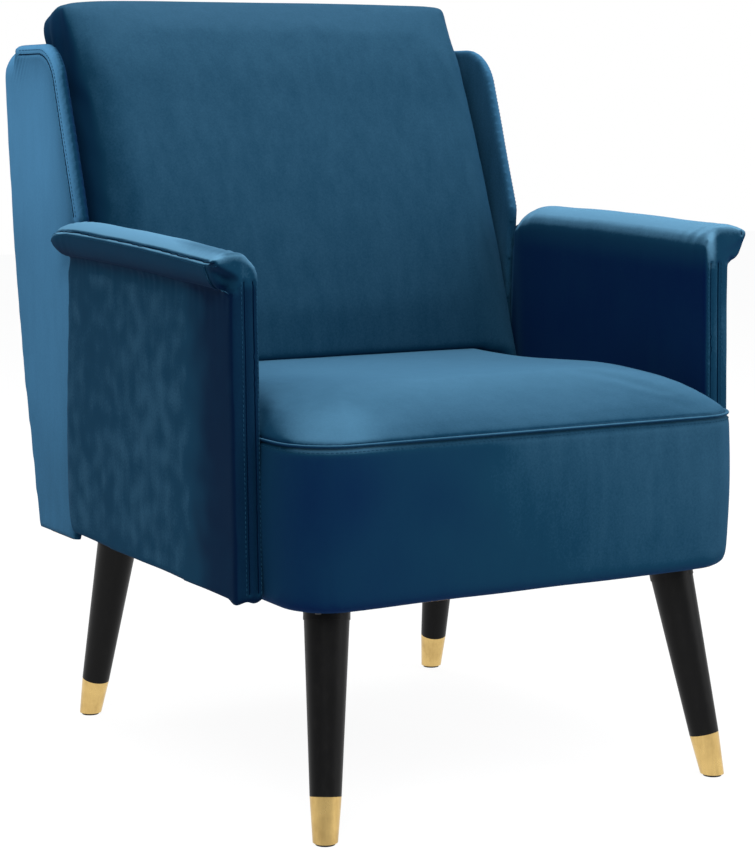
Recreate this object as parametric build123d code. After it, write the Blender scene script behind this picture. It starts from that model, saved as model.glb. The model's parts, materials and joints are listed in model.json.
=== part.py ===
"""Upholstered armchair, piece by piece, in millimetres.

X runs across the chair, +Y towards its back and +Z up. The origin is on the floor, under
the middle of the chair's bounding box. Left is -X: the left of someone who faces the chair.
"""

import math
import os

from build123d import *

# Overall: the depth is the arm's setback, the arm and the wing behind it
SEAT_WIDTH = 548.0
ARM_SETBACK = 77.0
ARM_LENGTH = 405.5
WING_DEPTH = 226.5
OVERALL_DEPTH = ARM_SETBACK + ARM_LENGTH + WING_DEPTH
FRONT = -OVERALL_DEPTH / 2
REAR = OVERALL_DEPTH / 2

# Layers and fits
COVER = 1.5
TOUCH = 0.3
BOLT_PLAY = 0.3
SOFT_REACH = 60.0

# Rear of the back, which the seat stops short of
BACK_LOW_SETBACK = 84.0
OUTSIDE_BACK = 20.0
BACK_RAIL_THICKNESS = 15.0
BACK_RAIL_GAP = 3.7

# Seat block
SEAT_UNDERSIDE = 231.0
SEAT_SEAM = 398.0
SEAT_CROWN = 44.0
SEAT_FRONT_RADIUS = 60.0
SEAT_REAR_RADIUS = 16.0
SEAT_LOWER_ROUND = 12.0
SEAT_RETURN = 20.0
SEAT_REAR_RETURN = 4.0
DOME_STEPS = ((0.0, 0.0), (30.0, 0.42), (85.0, 0.8), (165.0, 1.0))
DOME_SIDE_SHARE = 0.4
DOME_CORNER_GROWTH = 0.3
SEAT_REAR = REAR - BACK_LOW_SETBACK - OUTSIDE_BACK - BACK_RAIL_GAP - BACK_RAIL_THICKNESS - TOUCH
SEAT_TOP = SEAT_SEAM + SEAT_CROWN

# Seat frame
BORDER_PAD = 12.0
RAIL_THICKNESS = 22.0
RAIL_HEIGHT = 60.0
BLOCK_SIZE = 92.0
STRAP_WIDTH = 54.0
STRAP_THICKNESS = 1.6
LONG_STRAPS = 5
CROSS_STRAPS = 4
DUST_THICKNESS = 1.0
FRAME_HALF = SEAT_WIDTH / 2 - BORDER_PAD
FRAME_FRONT = FRONT + BORDER_PAD
FRAME_REAR = SEAT_REAR - BORDER_PAD
FRAME_LOW = SEAT_UNDERSIDE + COVER
FRAME_HIGH = FRAME_LOW + RAIL_HEIGHT
DECK = FRAME_HIGH + 2 * STRAP_THICKNESS

# Arms: a rolled top with a lip outside, over ends that lean towards each other
ARM_GAP = 1.0
ARM_THICKNESS = 32.0
ARM_LIP = 17.0
ARM_DROP = 12.0
ARM_FRONT_LEAN = 8.0
ARM_REAR_LEAN = 26.0
ARM_BOTTOM = 245.0
ARM_BOTTOM_DROP = 7.0
ARM_TOP = 600.0
ARM_INNER_ROUND = 28.0
ARM_TOP_FALL = 11.0
ARM_LIP_HEIGHT = 29.0
ARM_LIP_TUCK = 12.0
ARM_LIP_SWELL = 4.0
ARM_LIP_REACH = 22.0
ARM_END_ROUND = 6.0
ARM_REAR_ROUND = 20.0
ARM_BOARD = 18.0
ARM_EDGE_PAD = 26.0
ARM_RAIL_PAD = 9.0
ARM_RAIL_HEIGHT = 12.0
ARM_INNER = SEAT_WIDTH / 2 + ARM_GAP
ARM_OUTER = ARM_INNER + ARM_THICKNESS
ARM_EDGE = ARM_OUTER + ARM_LIP
ARM_FRONT = FRONT + ARM_SETBACK
ARM_REAR = ARM_FRONT + ARM_LENGTH
ARM_LIP_LOW = ARM_TOP - ARM_TOP_FALL - ARM_LIP_HEIGHT

# Back: wings, outside back and the plane that the back cushion leans on
WING_STEP = 6.0
WING_THICKNESS = 16.0
WING_BOARD = 9.0
WING_EDGE_PAD = 8.0
WING_EDGE_ROUND = 12.5
WING_TOP_ROUND = 60.0
WING_RECLINE = 19.0
BACK_BOTTOM = 231.0
BACK_TOP = 797.0
BACK_BULGE = 15.0
BACK_CORNER = 38.0
BACK_CORNER_DEPTH = 42.0
BACK_TOP_ROUND = 16.0
OUTSIDE_BOARD = 4.0
INSIDE_RECLINE = 20.5
INSIDE_TOP_SETBACK = 36.5
BATTEN = 20.0
BACK_STRAPS = 5
TOP_RAIL_HEIGHT = 50.0
WING_INNER = ARM_INNER + WING_STEP
WING_OUTER = WING_INNER + WING_THICKNESS
BOARD_INNER = WING_INNER + (WING_THICKNESS - WING_BOARD) / 2
BOARD_OUTER = BOARD_INNER + WING_BOARD

# Back cushion
CUSHION_SIDE_GAP = 17.0
CUSHION_THICKNESS = 92.0
CUSHION_TOP = 851.0
CUSHION_TOP_DROP = 24.0
CUSHION_ROUND = 22.0
CUSHION_SIDE_ROUND = 18.0
CUSHION_HALF = WING_INNER - CUSHION_SIDE_GAP

# Legs: where each axis meets the underside, and how far the foot stands out from there
FRONT_LEG_SIDE_INSET = 60.5
FRONT_LEG_INSET = 62.0
REAR_LEG_SIDE_INSET = 49.5
REAR_LEG_INSET = 41.0
FRONT_SPLAY = (28.5, -47.0)
REAR_SPLAY = (16.5, 57.0)
LEG_TOP_DIAMETER = 46.0
LEG_FERRULE_DIAMETER = 32.0
LEG_FOOT_DIAMETER = 25.0
FERRULE_LENGTH = 47.0
FERRULE_WALL = 1.2
FERRULE_PLAY = 0.1
GLIDE_THICKNESS = 2.5
GLIDE_DIAMETER = 20.0
COLLAR_HEIGHT = 14.0
COLLAR_DIAMETER = 47.6
PLATE_SIZE = 54.0
PLATE_THICKNESS = 2.5
PLATE_BOSS = 16.0
PLATE_BOSS_HEIGHT = 16.0
PLATE_SCREW_INSET = 5.5
SCREW_DIAMETER = 3.5
SCREW_LENGTH = 20.0
SCREW_HEAD = 6.4
SCREW_HEAD_HEIGHT = 2.0
HANGER_DEPTH = 35.0
HANGER_ABOVE = 26.0
PLATE_LOW = FRAME_LOW - DUST_THICKNESS - PLATE_THICKNESS

# Bolts
BOLT_DIAMETER = 8.0
BOLT_HEAD = 13.0
BOLT_HEAD_HEIGHT = 5.0
WASHER_DIAMETER = 18.0
WASHER_THICKNESS = 1.6
NUT_FLANGE = 20.0
NUT_FLANGE_THICKNESS = 1.5
NUT_BARREL = 10.0
NUT_BARREL_LENGTH = 9.0
NUT_HEIGHT = 6.5
BACK_BOLT_SHARE = 0.7
BOLT_SPACING = 240.0
BOLT_LEVEL = FRAME_LOW + RAIL_HEIGHT / 2

SIDES = {"left": -1, "right": 1}
parts = {}


def rod(start, end, radius):
    """Round bar between two points."""
    along = Vector(*end) - Vector(*start)
    return Plane(origin=start, z_dir=along) * Pos(0, 0, along.length / 2) * Cylinder(radius, along.length)


def block(low, high):
    """Box between two opposite corners."""
    size = [b - a for a, b in zip(low, high)]
    middle = [(a + b) / 2 for a, b in zip(low, high)]
    return Pos(*middle) * Box(*size)


def across(face, start, end):
    """Side profile in (y, z), run across the chair from x = start to x = end."""
    return extrude(Plane.YZ.offset(start) * face, end - start)


def mirrored(piece, side):
    """A right-hand piece, or its mirror image for the left."""
    return piece if side > 0 else mirror(piece, about=Plane.YZ)


def only(shape):
    """The one solid of a shape that was built by cutting."""
    solids = shape.solids()
    return max(solids, key=lambda s: s.volume)


def seat_plan(inset, step=0.0):
    """Seat outline from above, drawn in by an inset, or by a further step for the dome."""
    half = SEAT_WIDTH / 2 - inset - step * DOME_SIDE_SHARE
    front = FRONT + inset + step
    rear = SEAT_REAR - inset - step * DOME_SIDE_SHARE
    outline = make_face(Polyline((-half, front), (half, front), (half, rear), (-half, rear), close=True))
    outline = fillet(outline.vertices().sort_by(Axis.Y)[:2], SEAT_FRONT_RADIUS - inset)
    rear_corners = [v for v in outline.vertices() if v.Y > rear - COVER]
    return fillet(rear_corners, SEAT_REAR_RADIUS - inset + step * DOME_CORNER_GROWTH)


def seat_form(inset):
    """Seat block with its domed top, drawn in by an inset."""
    low = SEAT_UNDERSIDE + inset
    plan = seat_plan(inset)
    body = extrude(Pos(0, 0, low) * plan, SEAT_SEAM - low)
    lower = body.edges().group_by(Axis.Z)[0]
    body = fillet(lower, SEAT_LOWER_ROUND - inset)
    sections = []
    for step, rise in DOME_STEPS:
        section = seat_plan(inset, step)
        sections.append(Pos(0, 0, SEAT_SEAM + rise * (SEAT_CROWN - inset)) * section)
    return body + loft(sections)


def seat_opening():
    """Outline of the opening that the seat cover leaves on the underside."""
    half = SEAT_WIDTH / 2 - SEAT_RETURN
    front = FRONT + SEAT_RETURN
    rear = SEAT_REAR - SEAT_REAR_RETURN
    outline = make_face(Polyline((-half, front), (half, front), (half, rear), (-half, rear), close=True))
    return fillet(outline.vertices().sort_by(Axis.Y)[:2], SEAT_FRONT_RADIUS - SEAT_RETURN)


def frame_plan():
    """Outer outline of the wooden seat frame, with round corners."""
    outline = make_face(
        Polyline(
            (-FRAME_HALF, FRAME_FRONT),
            (FRAME_HALF, FRAME_FRONT),
            (FRAME_HALF, FRAME_REAR),
            (-FRAME_HALF, FRAME_REAR),
            close=True,
        )
    )
    outline = fillet(outline.vertices().sort_by(Axis.Y)[:2], SEAT_FRONT_RADIUS - BORDER_PAD)
    rear_corners = [v for v in outline.vertices() if v.Y > FRAME_REAR - COVER]
    return fillet(rear_corners, SEAT_REAR_RADIUS - BORDER_PAD)


class Leg:
    """One leg's axis, and the pieces that are turned about it."""

    def __init__(self, end, side):
        self.name = f"{end}_{'left' if side < 0 else 'right'}"
        front = end == "front"
        side_inset = FRONT_LEG_SIDE_INSET if front else REAR_LEG_SIDE_INSET
        inset = FRONT_LEG_INSET if front else REAR_LEG_INSET
        splay = FRONT_SPLAY if front else REAR_SPLAY
        top_y = FRONT + inset if front else SEAT_REAR - inset
        self.top = Vector(side * (SEAT_WIDTH / 2 - side_inset), top_y, SEAT_UNDERSIDE)
        self.foot = Vector(self.top.X + side * splay[0], top_y + splay[1], 0)
        self.axis = (self.top - self.foot).normalized()
        self.plane = Plane(origin=self.foot, z_dir=self.axis)
        self.plate = PLATE_LOW / self.axis.Z
        self.shoulder = self.plate - COLLAR_HEIGHT

    def turned(self, points):
        """Solid turned about the leg's axis from (radius, height) points."""
        profile = make_face(Polyline(*[(r, 0, h) for r, h in points], close=True))
        return self.plane * revolve(profile, axis=Axis.Z)

    def bar(self, low, high, radius):
        """Round bar on the leg's axis."""
        return self.plane * Pos(0, 0, (low + high) / 2) * Cylinder(radius, high - low)

    def radius(self, height):
        """Outer radius of the ferrule at a height on the axis."""
        share = height / FERRULE_LENGTH
        return (LEG_FOOT_DIAMETER + share * (LEG_FERRULE_DIAMETER - LEG_FOOT_DIAMETER)) / 2

    def leg(self):
        """Tapered leg with a spigot for the ferrule and a hole for the hanger bolt."""
        play = FERRULE_WALL + FERRULE_PLAY
        low = -LEG_FOOT_DIAMETER
        solid = self.turned(
            (
                (0, low),
                (self.radius(low) - play, low),
                (self.radius(FERRULE_LENGTH) - play, FERRULE_LENGTH),
                (LEG_FERRULE_DIAMETER / 2, FERRULE_LENGTH),
                (LEG_TOP_DIAMETER / 2, self.shoulder),
                (0, self.shoulder),
            )
        )
        deep = self.shoulder - HANGER_DEPTH
        solid -= self.bar(deep, self.shoulder + COLLAR_HEIGHT, BOLT_DIAMETER / 2)
        return split(solid, bisect_by=Plane.XY.offset(GLIDE_THICKNESS), keep=Keep.TOP)

    def ferrule(self):
        """Tapered brass sleeve round the foot, cut level with the floor."""
        low = -LEG_FOOT_DIAMETER
        sleeve = self.turned(
            (
                (self.radius(low) - FERRULE_WALL, low),
                (self.radius(low), low),
                (self.radius(FERRULE_LENGTH), FERRULE_LENGTH),
                (self.radius(FERRULE_LENGTH) - FERRULE_WALL, FERRULE_LENGTH),
            )
        )
        return split(sleeve, bisect_by=Plane.XY.offset(GLIDE_THICKNESS), keep=Keep.TOP)

    def glide(self):
        """Round pad under the foot."""
        share = GLIDE_THICKNESS / self.axis.Z
        centre = self.foot + self.axis * share
        return Pos(centre.X, centre.Y, GLIDE_THICKNESS / 2) * Cylinder(GLIDE_DIAMETER / 2, GLIDE_THICKNESS)

    def collar(self):
        """Ring between the leg and its plate, level on top and square to the leg below."""
        ring = self.bar(self.shoulder, self.plate + COLLAR_DIAMETER, COLLAR_DIAMETER / 2)
        ring -= self.bar(self.shoulder, self.plate + COLLAR_DIAMETER, (BOLT_DIAMETER + BOLT_PLAY) / 2)
        return split(ring, bisect_by=Plane.XY.offset(PLATE_LOW), keep=Keep.BOTTOM)

    def hanger_bolt(self):
        """Stud that screws into the leg and through the plate's boss."""
        return self.bar(self.shoulder - HANGER_DEPTH, self.plate + HANGER_ABOVE, BOLT_DIAMETER / 2)

    def bore(self, radius):
        """Room for the boss and the bolt above the plate."""
        return self.bar(self.plate - PLATE_SIZE, self.plate + HANGER_ABOVE + BOLT_DIAMETER, radius)

    def plate_centre(self):
        """Point where the axis meets the underside of the plate."""
        return self.foot + self.axis * self.plate

    def screw_places(self):
        """Where the plate's four screws stand."""
        centre = self.plate_centre()
        reach = PLATE_SIZE / 2 - PLATE_SCREW_INSET
        return [(centre.X + i * reach, centre.Y + j * reach) for i in (-1, 1) for j in (-1, 1)]

    def mounting_plate(self):
        """Flat plate with a slanting threaded boss."""
        centre = self.plate_centre()
        middle = PLATE_LOW + PLATE_THICKNESS / 2
        plate = Pos(centre.X, centre.Y, middle) * Box(PLATE_SIZE, PLATE_SIZE, PLATE_THICKNESS)
        boss = self.bar(self.plate - PLATE_BOSS, self.plate + PLATE_BOSS_HEIGHT, PLATE_BOSS / 2)
        plate += split(boss, bisect_by=Plane.XY.offset(PLATE_LOW), keep=Keep.TOP)
        plate -= self.bore((BOLT_DIAMETER + BOLT_PLAY) / 2)
        for x, y in self.screw_places():
            plate -= rod((x, y, 0), (x, y, FRAME_HIGH), (SCREW_DIAMETER + BOLT_PLAY) / 2)
        return plate

    def screws(self):
        """Four pan-head screws through the plate."""
        bodies = []
        for x, y in self.screw_places():
            head = rod((x, y, PLATE_LOW - SCREW_HEAD_HEIGHT), (x, y, PLATE_LOW), SCREW_HEAD / 2)
            bodies.append(head + rod((x, y, PLATE_LOW), (x, y, PLATE_LOW + SCREW_LENGTH), SCREW_DIAMETER / 2))
        return bodies

    def cut_from(self, piece):
        """A frame piece with room for the boss, the bolt and the screws."""
        piece -= self.bore(PLATE_BOSS / 2 + BOLT_PLAY)
        for x, y in self.screw_places():
            piece -= rod((x, y, 0), (x, y, PLATE_LOW + SCREW_LENGTH), SCREW_DIAMETER / 2)
        return piece


def build_legs(legs):
    """Legs, ferrules, glides, collars, plates and their fasteners."""
    for leg in legs:
        parts[f"{leg.name}_leg"] = leg.leg()
        parts[f"{leg.name}_ferrule"] = leg.ferrule()
    parts["foot_glides"] = [leg.glide() for leg in legs]
    parts["leg_collars"] = [leg.collar() for leg in legs]
    parts["leg_plates"] = [leg.mounting_plate() for leg in legs]
    parts["leg_hanger_bolts"] = [leg.hanger_bolt() for leg in legs]
    parts["leg_plate_screws"] = [screw for leg in legs for screw in leg.screws()]


def bolt_places():
    """Where the arm bolts cross the side rails, as (y, z)."""
    middle = (ARM_FRONT + ARM_REAR) / 2
    return [(middle + i * BOLT_SPACING / 2, BOLT_LEVEL) for i in (-1, 1)]


def arm_bolt_holes(radius):
    """Holes for the arm bolts of both sides, out to the middle of the arm."""
    holes = []
    for side in SIDES.values():
        for y, z in bolt_places():
            holes.append(rod((0.5 * side * FRAME_HALF, y, z), (side * ARM_OUTER, y, z), radius))
    return holes


def build_seat(legs):
    """Seat frame, straps, foam, cover and dust cover."""
    outline = extrude(Pos(0, 0, FRAME_LOW) * frame_plan(), RAIL_HEIGHT)
    inner = FRAME_HALF - BLOCK_SIZE
    play = (BOLT_DIAMETER + BOLT_PLAY) / 2
    for leg in legs:
        side = 1 if leg.top.X > 0 else -1
        front = FRAME_FRONT if leg.top.Y < 0 else FRAME_REAR - BLOCK_SIZE
        corner = [side * inner, side * FRAME_HALF]
        square = block((min(corner), front, FRAME_LOW), (max(corner), front + BLOCK_SIZE, FRAME_HIGH))
        parts[f"{leg.name}_corner_block"] = leg.cut_from(outline & square)
    rail_ends = (FRAME_FRONT + BLOCK_SIZE, FRAME_REAR - BLOCK_SIZE)
    for name, side in SIDES.items():
        edges = sorted((side * FRAME_HALF, side * (FRAME_HALF - RAIL_THICKNESS)))
        rail = block((edges[0], rail_ends[0], FRAME_LOW), (edges[1], rail_ends[1], FRAME_HIGH))
        for hole in arm_bolt_holes(play):
            rail -= hole
        parts[f"seat_{name}_rail"] = rail
    parts["seat_front_rail"] = block(
        (-inner, FRAME_FRONT, FRAME_LOW), (inner, FRAME_FRONT + RAIL_THICKNESS, FRAME_HIGH)
    )
    rear_rail = block((-inner, FRAME_REAR - RAIL_THICKNESS, FRAME_LOW), (inner, FRAME_REAR, FRAME_HIGH))
    for hole in back_bolt_holes(play):
        rear_rail -= hole
    parts["seat_rear_rail"] = rear_rail

    straps = []
    for i in range(LONG_STRAPS):
        x = 2 * inner * (i / (LONG_STRAPS - 1) - 0.5)
        straps.append(
            block(
                (x - STRAP_WIDTH / 2, FRAME_FRONT, FRAME_HIGH),
                (x + STRAP_WIDTH / 2, FRAME_REAR, FRAME_HIGH + STRAP_THICKNESS),
            )
        )
    parts["seat_straps_lengthwise"] = straps
    straps = []
    for i in range(CROSS_STRAPS):
        y = rail_ends[0] + (rail_ends[1] - rail_ends[0]) * i / (CROSS_STRAPS - 1)
        low = FRAME_HIGH + STRAP_THICKNESS
        straps.append(
            block((-FRAME_HALF, y - STRAP_WIDTH / 2, low), (FRAME_HALF, y + STRAP_WIDTH / 2, DECK))
        )
    parts["seat_straps_crosswise"] = straps

    soft = seat_form(COVER)
    parts["seat_foam"] = split(soft, bisect_by=Plane.XY.offset(DECK), keep=Keep.TOP)
    border = split(soft, bisect_by=Plane.XY.offset(DECK), keep=Keep.BOTTOM)
    border -= extrude(Pos(0, 0, SEAT_UNDERSIDE) * frame_plan(), DECK)
    cover = seat_form(0) - soft
    cover -= extrude(Pos(0, 0, SEAT_UNDERSIDE - COVER) * seat_opening(), 3 * COVER)
    for hole in arm_bolt_holes(play):
        border -= hole
        cover -= hole
    for hole in back_bolt_holes(play):
        border -= hole
        cover -= hole
    parts["seat_border_foam"] = border
    parts["seat_cover"] = cover

    dust = extrude(Pos(0, 0, FRAME_LOW - DUST_THICKNESS) * offset(seat_opening(), -TOUCH), DUST_THICKNESS)
    for leg in legs:
        dust = leg.cut_from(dust)
    parts["dust_cover"] = dust


def arm_rear(z):
    """Depth of the arm's rear end at a height."""
    return ARM_REAR + ARM_REAR_LEAN * (ARM_TOP - z) / (ARM_TOP - ARM_BOTTOM)


def arm_front(z):
    """Depth of the arm's front end at a height."""
    return ARM_FRONT + ARM_FRONT_LEAN * (z - ARM_BOTTOM) / (ARM_TOP - ARM_BOTTOM)


def arm_profile(inset):
    """Arm seen from the front at its rear end, with its height measured from its top."""
    low = ARM_BOTTOM - 2 * SOFT_REACH - ARM_TOP
    edge = -ARM_TOP_FALL
    lip_low = ARM_LIP_LOW - ARM_TOP
    tuck = ARM_EDGE - ARM_LIP_TUCK
    crown = (ARM_INNER + ARM_INNER_ROUND, 0)
    swell = ((ARM_EDGE + tuck) / 2 + ARM_LIP_SWELL, (edge + lip_low) / 2)
    face = make_face(
        [
            Line((ARM_INNER, low), (ARM_INNER, -ARM_INNER_ROUND)),
            TangentArc((ARM_INNER, -ARM_INNER_ROUND), crown, tangent=(0, 1)),
            TangentArc(crown, (ARM_EDGE, edge), tangent=(1, 0)),
            ThreePointArc((ARM_EDGE, edge), swell, (tuck, lip_low)),
            Polyline((tuck, lip_low), (ARM_OUTER, lip_low), (ARM_OUTER, low), (ARM_INNER, low)),
        ]
    )
    return offset(face, -inset, kind=Kind.INTERSECTION) if inset else face


def arm_run(face, ahead, behind):
    """Arm profile run along the sloping top, ahead of and behind the arm's rear end."""
    slope = math.atan2(ARM_DROP, ARM_LENGTH)
    forward = (0, -math.cos(slope), -math.sin(slope))
    end = Plane(origin=(0, ARM_REAR, ARM_TOP), x_dir=(1, 0, 0), z_dir=forward)
    return extrude(end.offset(-behind) * face, ahead + behind)


def arm_between(face, inset, reach=0.0):
    """Arm profile between the leaning ends, drawn in by an inset, and run down past its base."""
    front_low = ARM_BOTTOM - ARM_BOTTOM_DROP - reach
    rear_low = ARM_BOTTOM - reach
    high = ARM_TOP + SOFT_REACH
    side = make_face(
        Polyline(
            (arm_front(front_low) + inset, front_low),
            (arm_rear(rear_low) - inset, rear_low),
            (arm_rear(high) - inset, high),
            (arm_front(high) + inset, high),
            close=True,
        )
    )
    run = arm_run(face, ARM_LENGTH + SOFT_REACH, SOFT_REACH)
    return run & across(side, 0, 2 * ARM_EDGE)


def arm_end(body, direction):
    """The arm's rearmost or foremost upright face."""
    upright = [face for face in body.faces() if abs(face.normal_at().Y) > 0.9]
    return max(upright, key=lambda face: direction * face.center().Y)


def arm_lip(inset):
    """The lip's run along the outside of the wing, behind the arm's rear end."""
    inner = WING_OUTER + ARM_GAP + inset
    low = ARM_LIP_LOW - ARM_TOP + inset
    keep = Pos(inner + ARM_EDGE / 2, low + ARM_TOP / 2) * Rectangle(ARM_EDGE, ARM_TOP)
    return arm_run(arm_profile(inset) & keep, 2 * ARM_REAR_ROUND, ARM_LIP_REACH - inset)


def arm_form(inset, reach=0.0):
    """Right arm with rounded ends and its lip run on behind, drawn in by an inset."""
    body = arm_between(arm_profile(inset), inset, reach)
    inner = ARM_INNER + inset
    top = ARM_LIP_LOW + ARM_INNER_ROUND
    rounded = [e for e in arm_end(body, 1).edges() if e.center().X < inner + TOUCH or e.center().Z > top]
    body = fillet(rounded, ARM_REAR_ROUND - inset)
    low = ARM_BOTTOM - reach
    rounded = [e for e in arm_end(body, -1).edges() if e.center().Z > low]
    return fillet(rounded, ARM_END_ROUND - inset) + arm_lip(inset)


def arm_nut_holes(radius_flange, radius_barrel, outside):
    """Tee nuts of both right-hand bolts: flange against the board and barrel in it."""
    nuts = []
    for y, z in bolt_places():
        flange = rod((outside, y, z), (outside + NUT_FLANGE_THICKNESS, y, z), radius_flange)
        nuts.append(flange + rod((outside - NUT_BARREL_LENGTH, y, z), (outside, y, z), radius_barrel))
    return nuts


def build_arms():
    """Arm boards, top rails, foam, covers and the bolts that hold them to the seat."""
    play = (BOLT_DIAMETER + BOLT_PLAY) / 2
    middle = (ARM_INNER + ARM_OUTER) / 2
    board_in, board_out = middle - ARM_BOARD / 2, middle + ARM_BOARD / 2
    board_top = ARM_LIP_LOW + COVER + ARM_RAIL_PAD - ARM_TOP
    rail_top = board_top + ARM_RAIL_HEIGHT
    rail_out = ARM_EDGE - ARM_RAIL_PAD
    board_low = ARM_BOTTOM - 2 * SOFT_REACH - ARM_TOP
    board_face = make_face(
        Polyline(
            (board_in, board_low), (board_out, board_low), (board_out, board_top), (board_in, board_top),
            close=True,
        )
    )
    rail_face = make_face(
        Polyline(
            (board_in, board_top), (rail_out, board_top), (rail_out, rail_top), (board_in, rail_top),
            close=True,
        )
    )
    board = arm_between(board_face, ARM_EDGE_PAD)
    rail = arm_between(rail_face, ARM_EDGE_PAD)
    foam = arm_form(COVER) - board - rail
    cover = arm_form(0) - arm_form(COVER, SOFT_REACH)
    for y, z in bolt_places():
        hole = rod((0, y, z), (middle, y, z), play)
        cover -= hole
        foam -= hole
        board -= rod((0, y, z), (board_out, y, z), play)
    for nut in arm_nut_holes(NUT_FLANGE / 2, NUT_BARREL / 2, board_out):
        board -= nut
        foam -= nut
    for name, side in SIDES.items():
        parts[f"{name}_arm_board"] = mirrored(only(board), side)
        parts[f"{name}_arm_top_rail"] = mirrored(rail, side)
        parts[f"{name}_arm_foam"] = mirrored(only(foam), side)
        parts[f"{name}_arm_cover"] = mirrored(only(cover), side)

    bolts, washers, nuts = [], [], []
    rail_face_x = FRAME_HALF - RAIL_THICKNESS
    under_head = rail_face_x - WASHER_THICKNESS
    for side in SIDES.values():
        for y, z in bolt_places():
            head = rod((under_head - BOLT_HEAD_HEIGHT, y, z), (under_head, y, z), BOLT_HEAD / 2)
            shank = rod((under_head, y, z), (board_out, y, z), BOLT_DIAMETER / 2)
            bolts.append(mirrored(head + shank, side))
            washer = rod((under_head, y, z), (rail_face_x, y, z), WASHER_DIAMETER / 2)
            washers.append(mirrored(washer - rod((0, y, z), (ARM_OUTER, y, z), play), side))
        for nut in arm_nut_holes(NUT_FLANGE / 2, NUT_BARREL / 2, board_out):
            for y, z in bolt_places():
                nut -= rod((0, y, z), (board_out, y, z), BOLT_DIAMETER / 2)
            nuts.append(mirrored(nut, side))
    parts["arm_bolts"] = bolts
    parts["arm_bolt_washers"] = washers
    parts["arm_tee_nuts"] = nuts


def inside_plane(z, behind=0.0):
    """Depth at a height of the plane that the back cushion leans on, or of one behind it."""
    lean = math.radians(INSIDE_RECLINE)
    return REAR - INSIDE_TOP_SETBACK - (BACK_TOP - z) * math.tan(lean) + behind / math.cos(lean)


def rear_curve(forward, low=BACK_BOTTOM, high=BACK_TOP):
    """Three points of the outside back's arc in (y, z), moved forward, between two heights."""
    half_chord = math.hypot(BACK_LOW_SETBACK, BACK_TOP - BACK_BOTTOM) / 2
    radius = (half_chord**2 + BACK_BULGE**2) / (2 * BACK_BULGE)
    lean = math.atan2(BACK_LOW_SETBACK, BACK_TOP - BACK_BOTTOM)
    centre_y = REAR - BACK_LOW_SETBACK / 2 - (radius - BACK_BULGE) * math.cos(lean)
    centre_z = (BACK_BOTTOM + BACK_TOP) / 2 + (radius - BACK_BULGE) * math.sin(lean)
    heights = (low, (low + high) / 2, high)
    return [(centre_y + math.sqrt(radius**2 - (z - centre_z) ** 2) - forward, z) for z in heights]


def wing_face(inset, rear_forward, low):
    """Side profile of a wing, drawn in at the front and the top by an inset."""
    lean = math.radians(WING_RECLINE)
    top = BACK_TOP - inset
    kink = ARM_TOP - inset * math.tan(lean / 2)
    gap = TOUCH + inset
    bottom, middle, peak = rear_curve(rear_forward, low, top)
    corner = (arm_rear(kink) + gap + (top - kink) * math.tan(lean), top)
    face = make_face(
        [
            Polyline(peak, corner, (arm_rear(kink) + gap, kink), (arm_rear(low) + gap, low), bottom),
            ThreePointArc(bottom, middle, peak),
        ]
    )
    tip = min(face.vertices(), key=lambda v: (v.X - corner[0]) ** 2 + (v.Y - corner[1]) ** 2)
    return fillet(tip, WING_TOP_ROUND - inset)


def wing_form(inset, rear_forward, low):
    """Right wing with its outer front and top edges rounded, drawn in by an inset."""
    body = across(wing_face(inset, rear_forward, low), WING_INNER + inset, WING_OUTER - inset)
    outside = body.faces().sort_by(Axis.X)[-1]
    bottom_edge = outside.edges().sort_by(Axis.Z)[0]
    rear_edge = outside.edges().sort_by(Axis.Y)[-1]
    chain = [e for e in outside.edges() if e not in (bottom_edge, rear_edge)]
    return fillet(chain, WING_EDGE_ROUND - inset)


def behind_inside(distance, half, low, high):
    """Everything behind a plane parallel to the inside back, between two heights."""
    far = REAR + SOFT_REACH
    face = make_face(
        Polyline(
            (inside_plane(low, distance), low), (far, low), (far, high), (inside_plane(high, distance), high),
            close=True,
        )
    )
    return across(face, -half, half)


def slab(near, far, half, low, high):
    """Sheet parallel to the inside back, between two distances behind its plane."""
    return behind_inside(near, half, low, high) - behind_inside(far, half + 1, low - 1, high + 1)


def outside_form(inset, low):
    """Outside back as a thick curved slab with round rear corners, drawn in by an inset."""
    top = BACK_TOP - inset
    rear = rear_curve(inset, low, top)
    front = rear_curve(BACK_CORNER_DEPTH + inset, low, top)
    face = make_face(
        [
            ThreePointArc(*rear),
            Line(rear[2], front[2]),
            ThreePointArc(*reversed(front)),
            Line(front[0], rear[0]),
        ]
    )
    half = WING_OUTER - inset
    body = across(face, -half, half)
    back = body.faces().sort_by(Axis.Y)[-1]
    upright = [e for e in back.edges() if abs(e.center().X) > half - 1]
    body = fillet(upright, BACK_CORNER - inset)
    lid = body.faces().sort_by(Axis.Z)[-1]
    front_edge = lid.edges().sort_by(Axis.Y)[0]
    return fillet([e for e in lid.edges() if e != front_edge], BACK_TOP_ROUND - inset)


def bay(distance):
    """The space in front of the inside back, between the wing boards."""
    far = block(
        (-BOARD_INNER, ARM_REAR - SOFT_REACH, BACK_BOTTOM - SOFT_REACH),
        (BOARD_INNER, REAR, BACK_TOP + SOFT_REACH),
    )
    low, high = BACK_BOTTOM - 2 * SOFT_REACH, BACK_TOP + 2 * SOFT_REACH
    return far - behind_inside(distance, BOARD_INNER + 1, low, high)


def curved_slab(near, far, half, low, high):
    """Slab that follows the outside back, between two distances in front of it."""
    rear, front = rear_curve(near, low, high), rear_curve(far, low, high)
    face = make_face(
        [
            ThreePointArc(*rear),
            Line(rear[2], front[2]),
            ThreePointArc(*reversed(front)),
            Line(front[0], rear[0]),
        ]
    )
    return across(face, -half, half)


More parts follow.
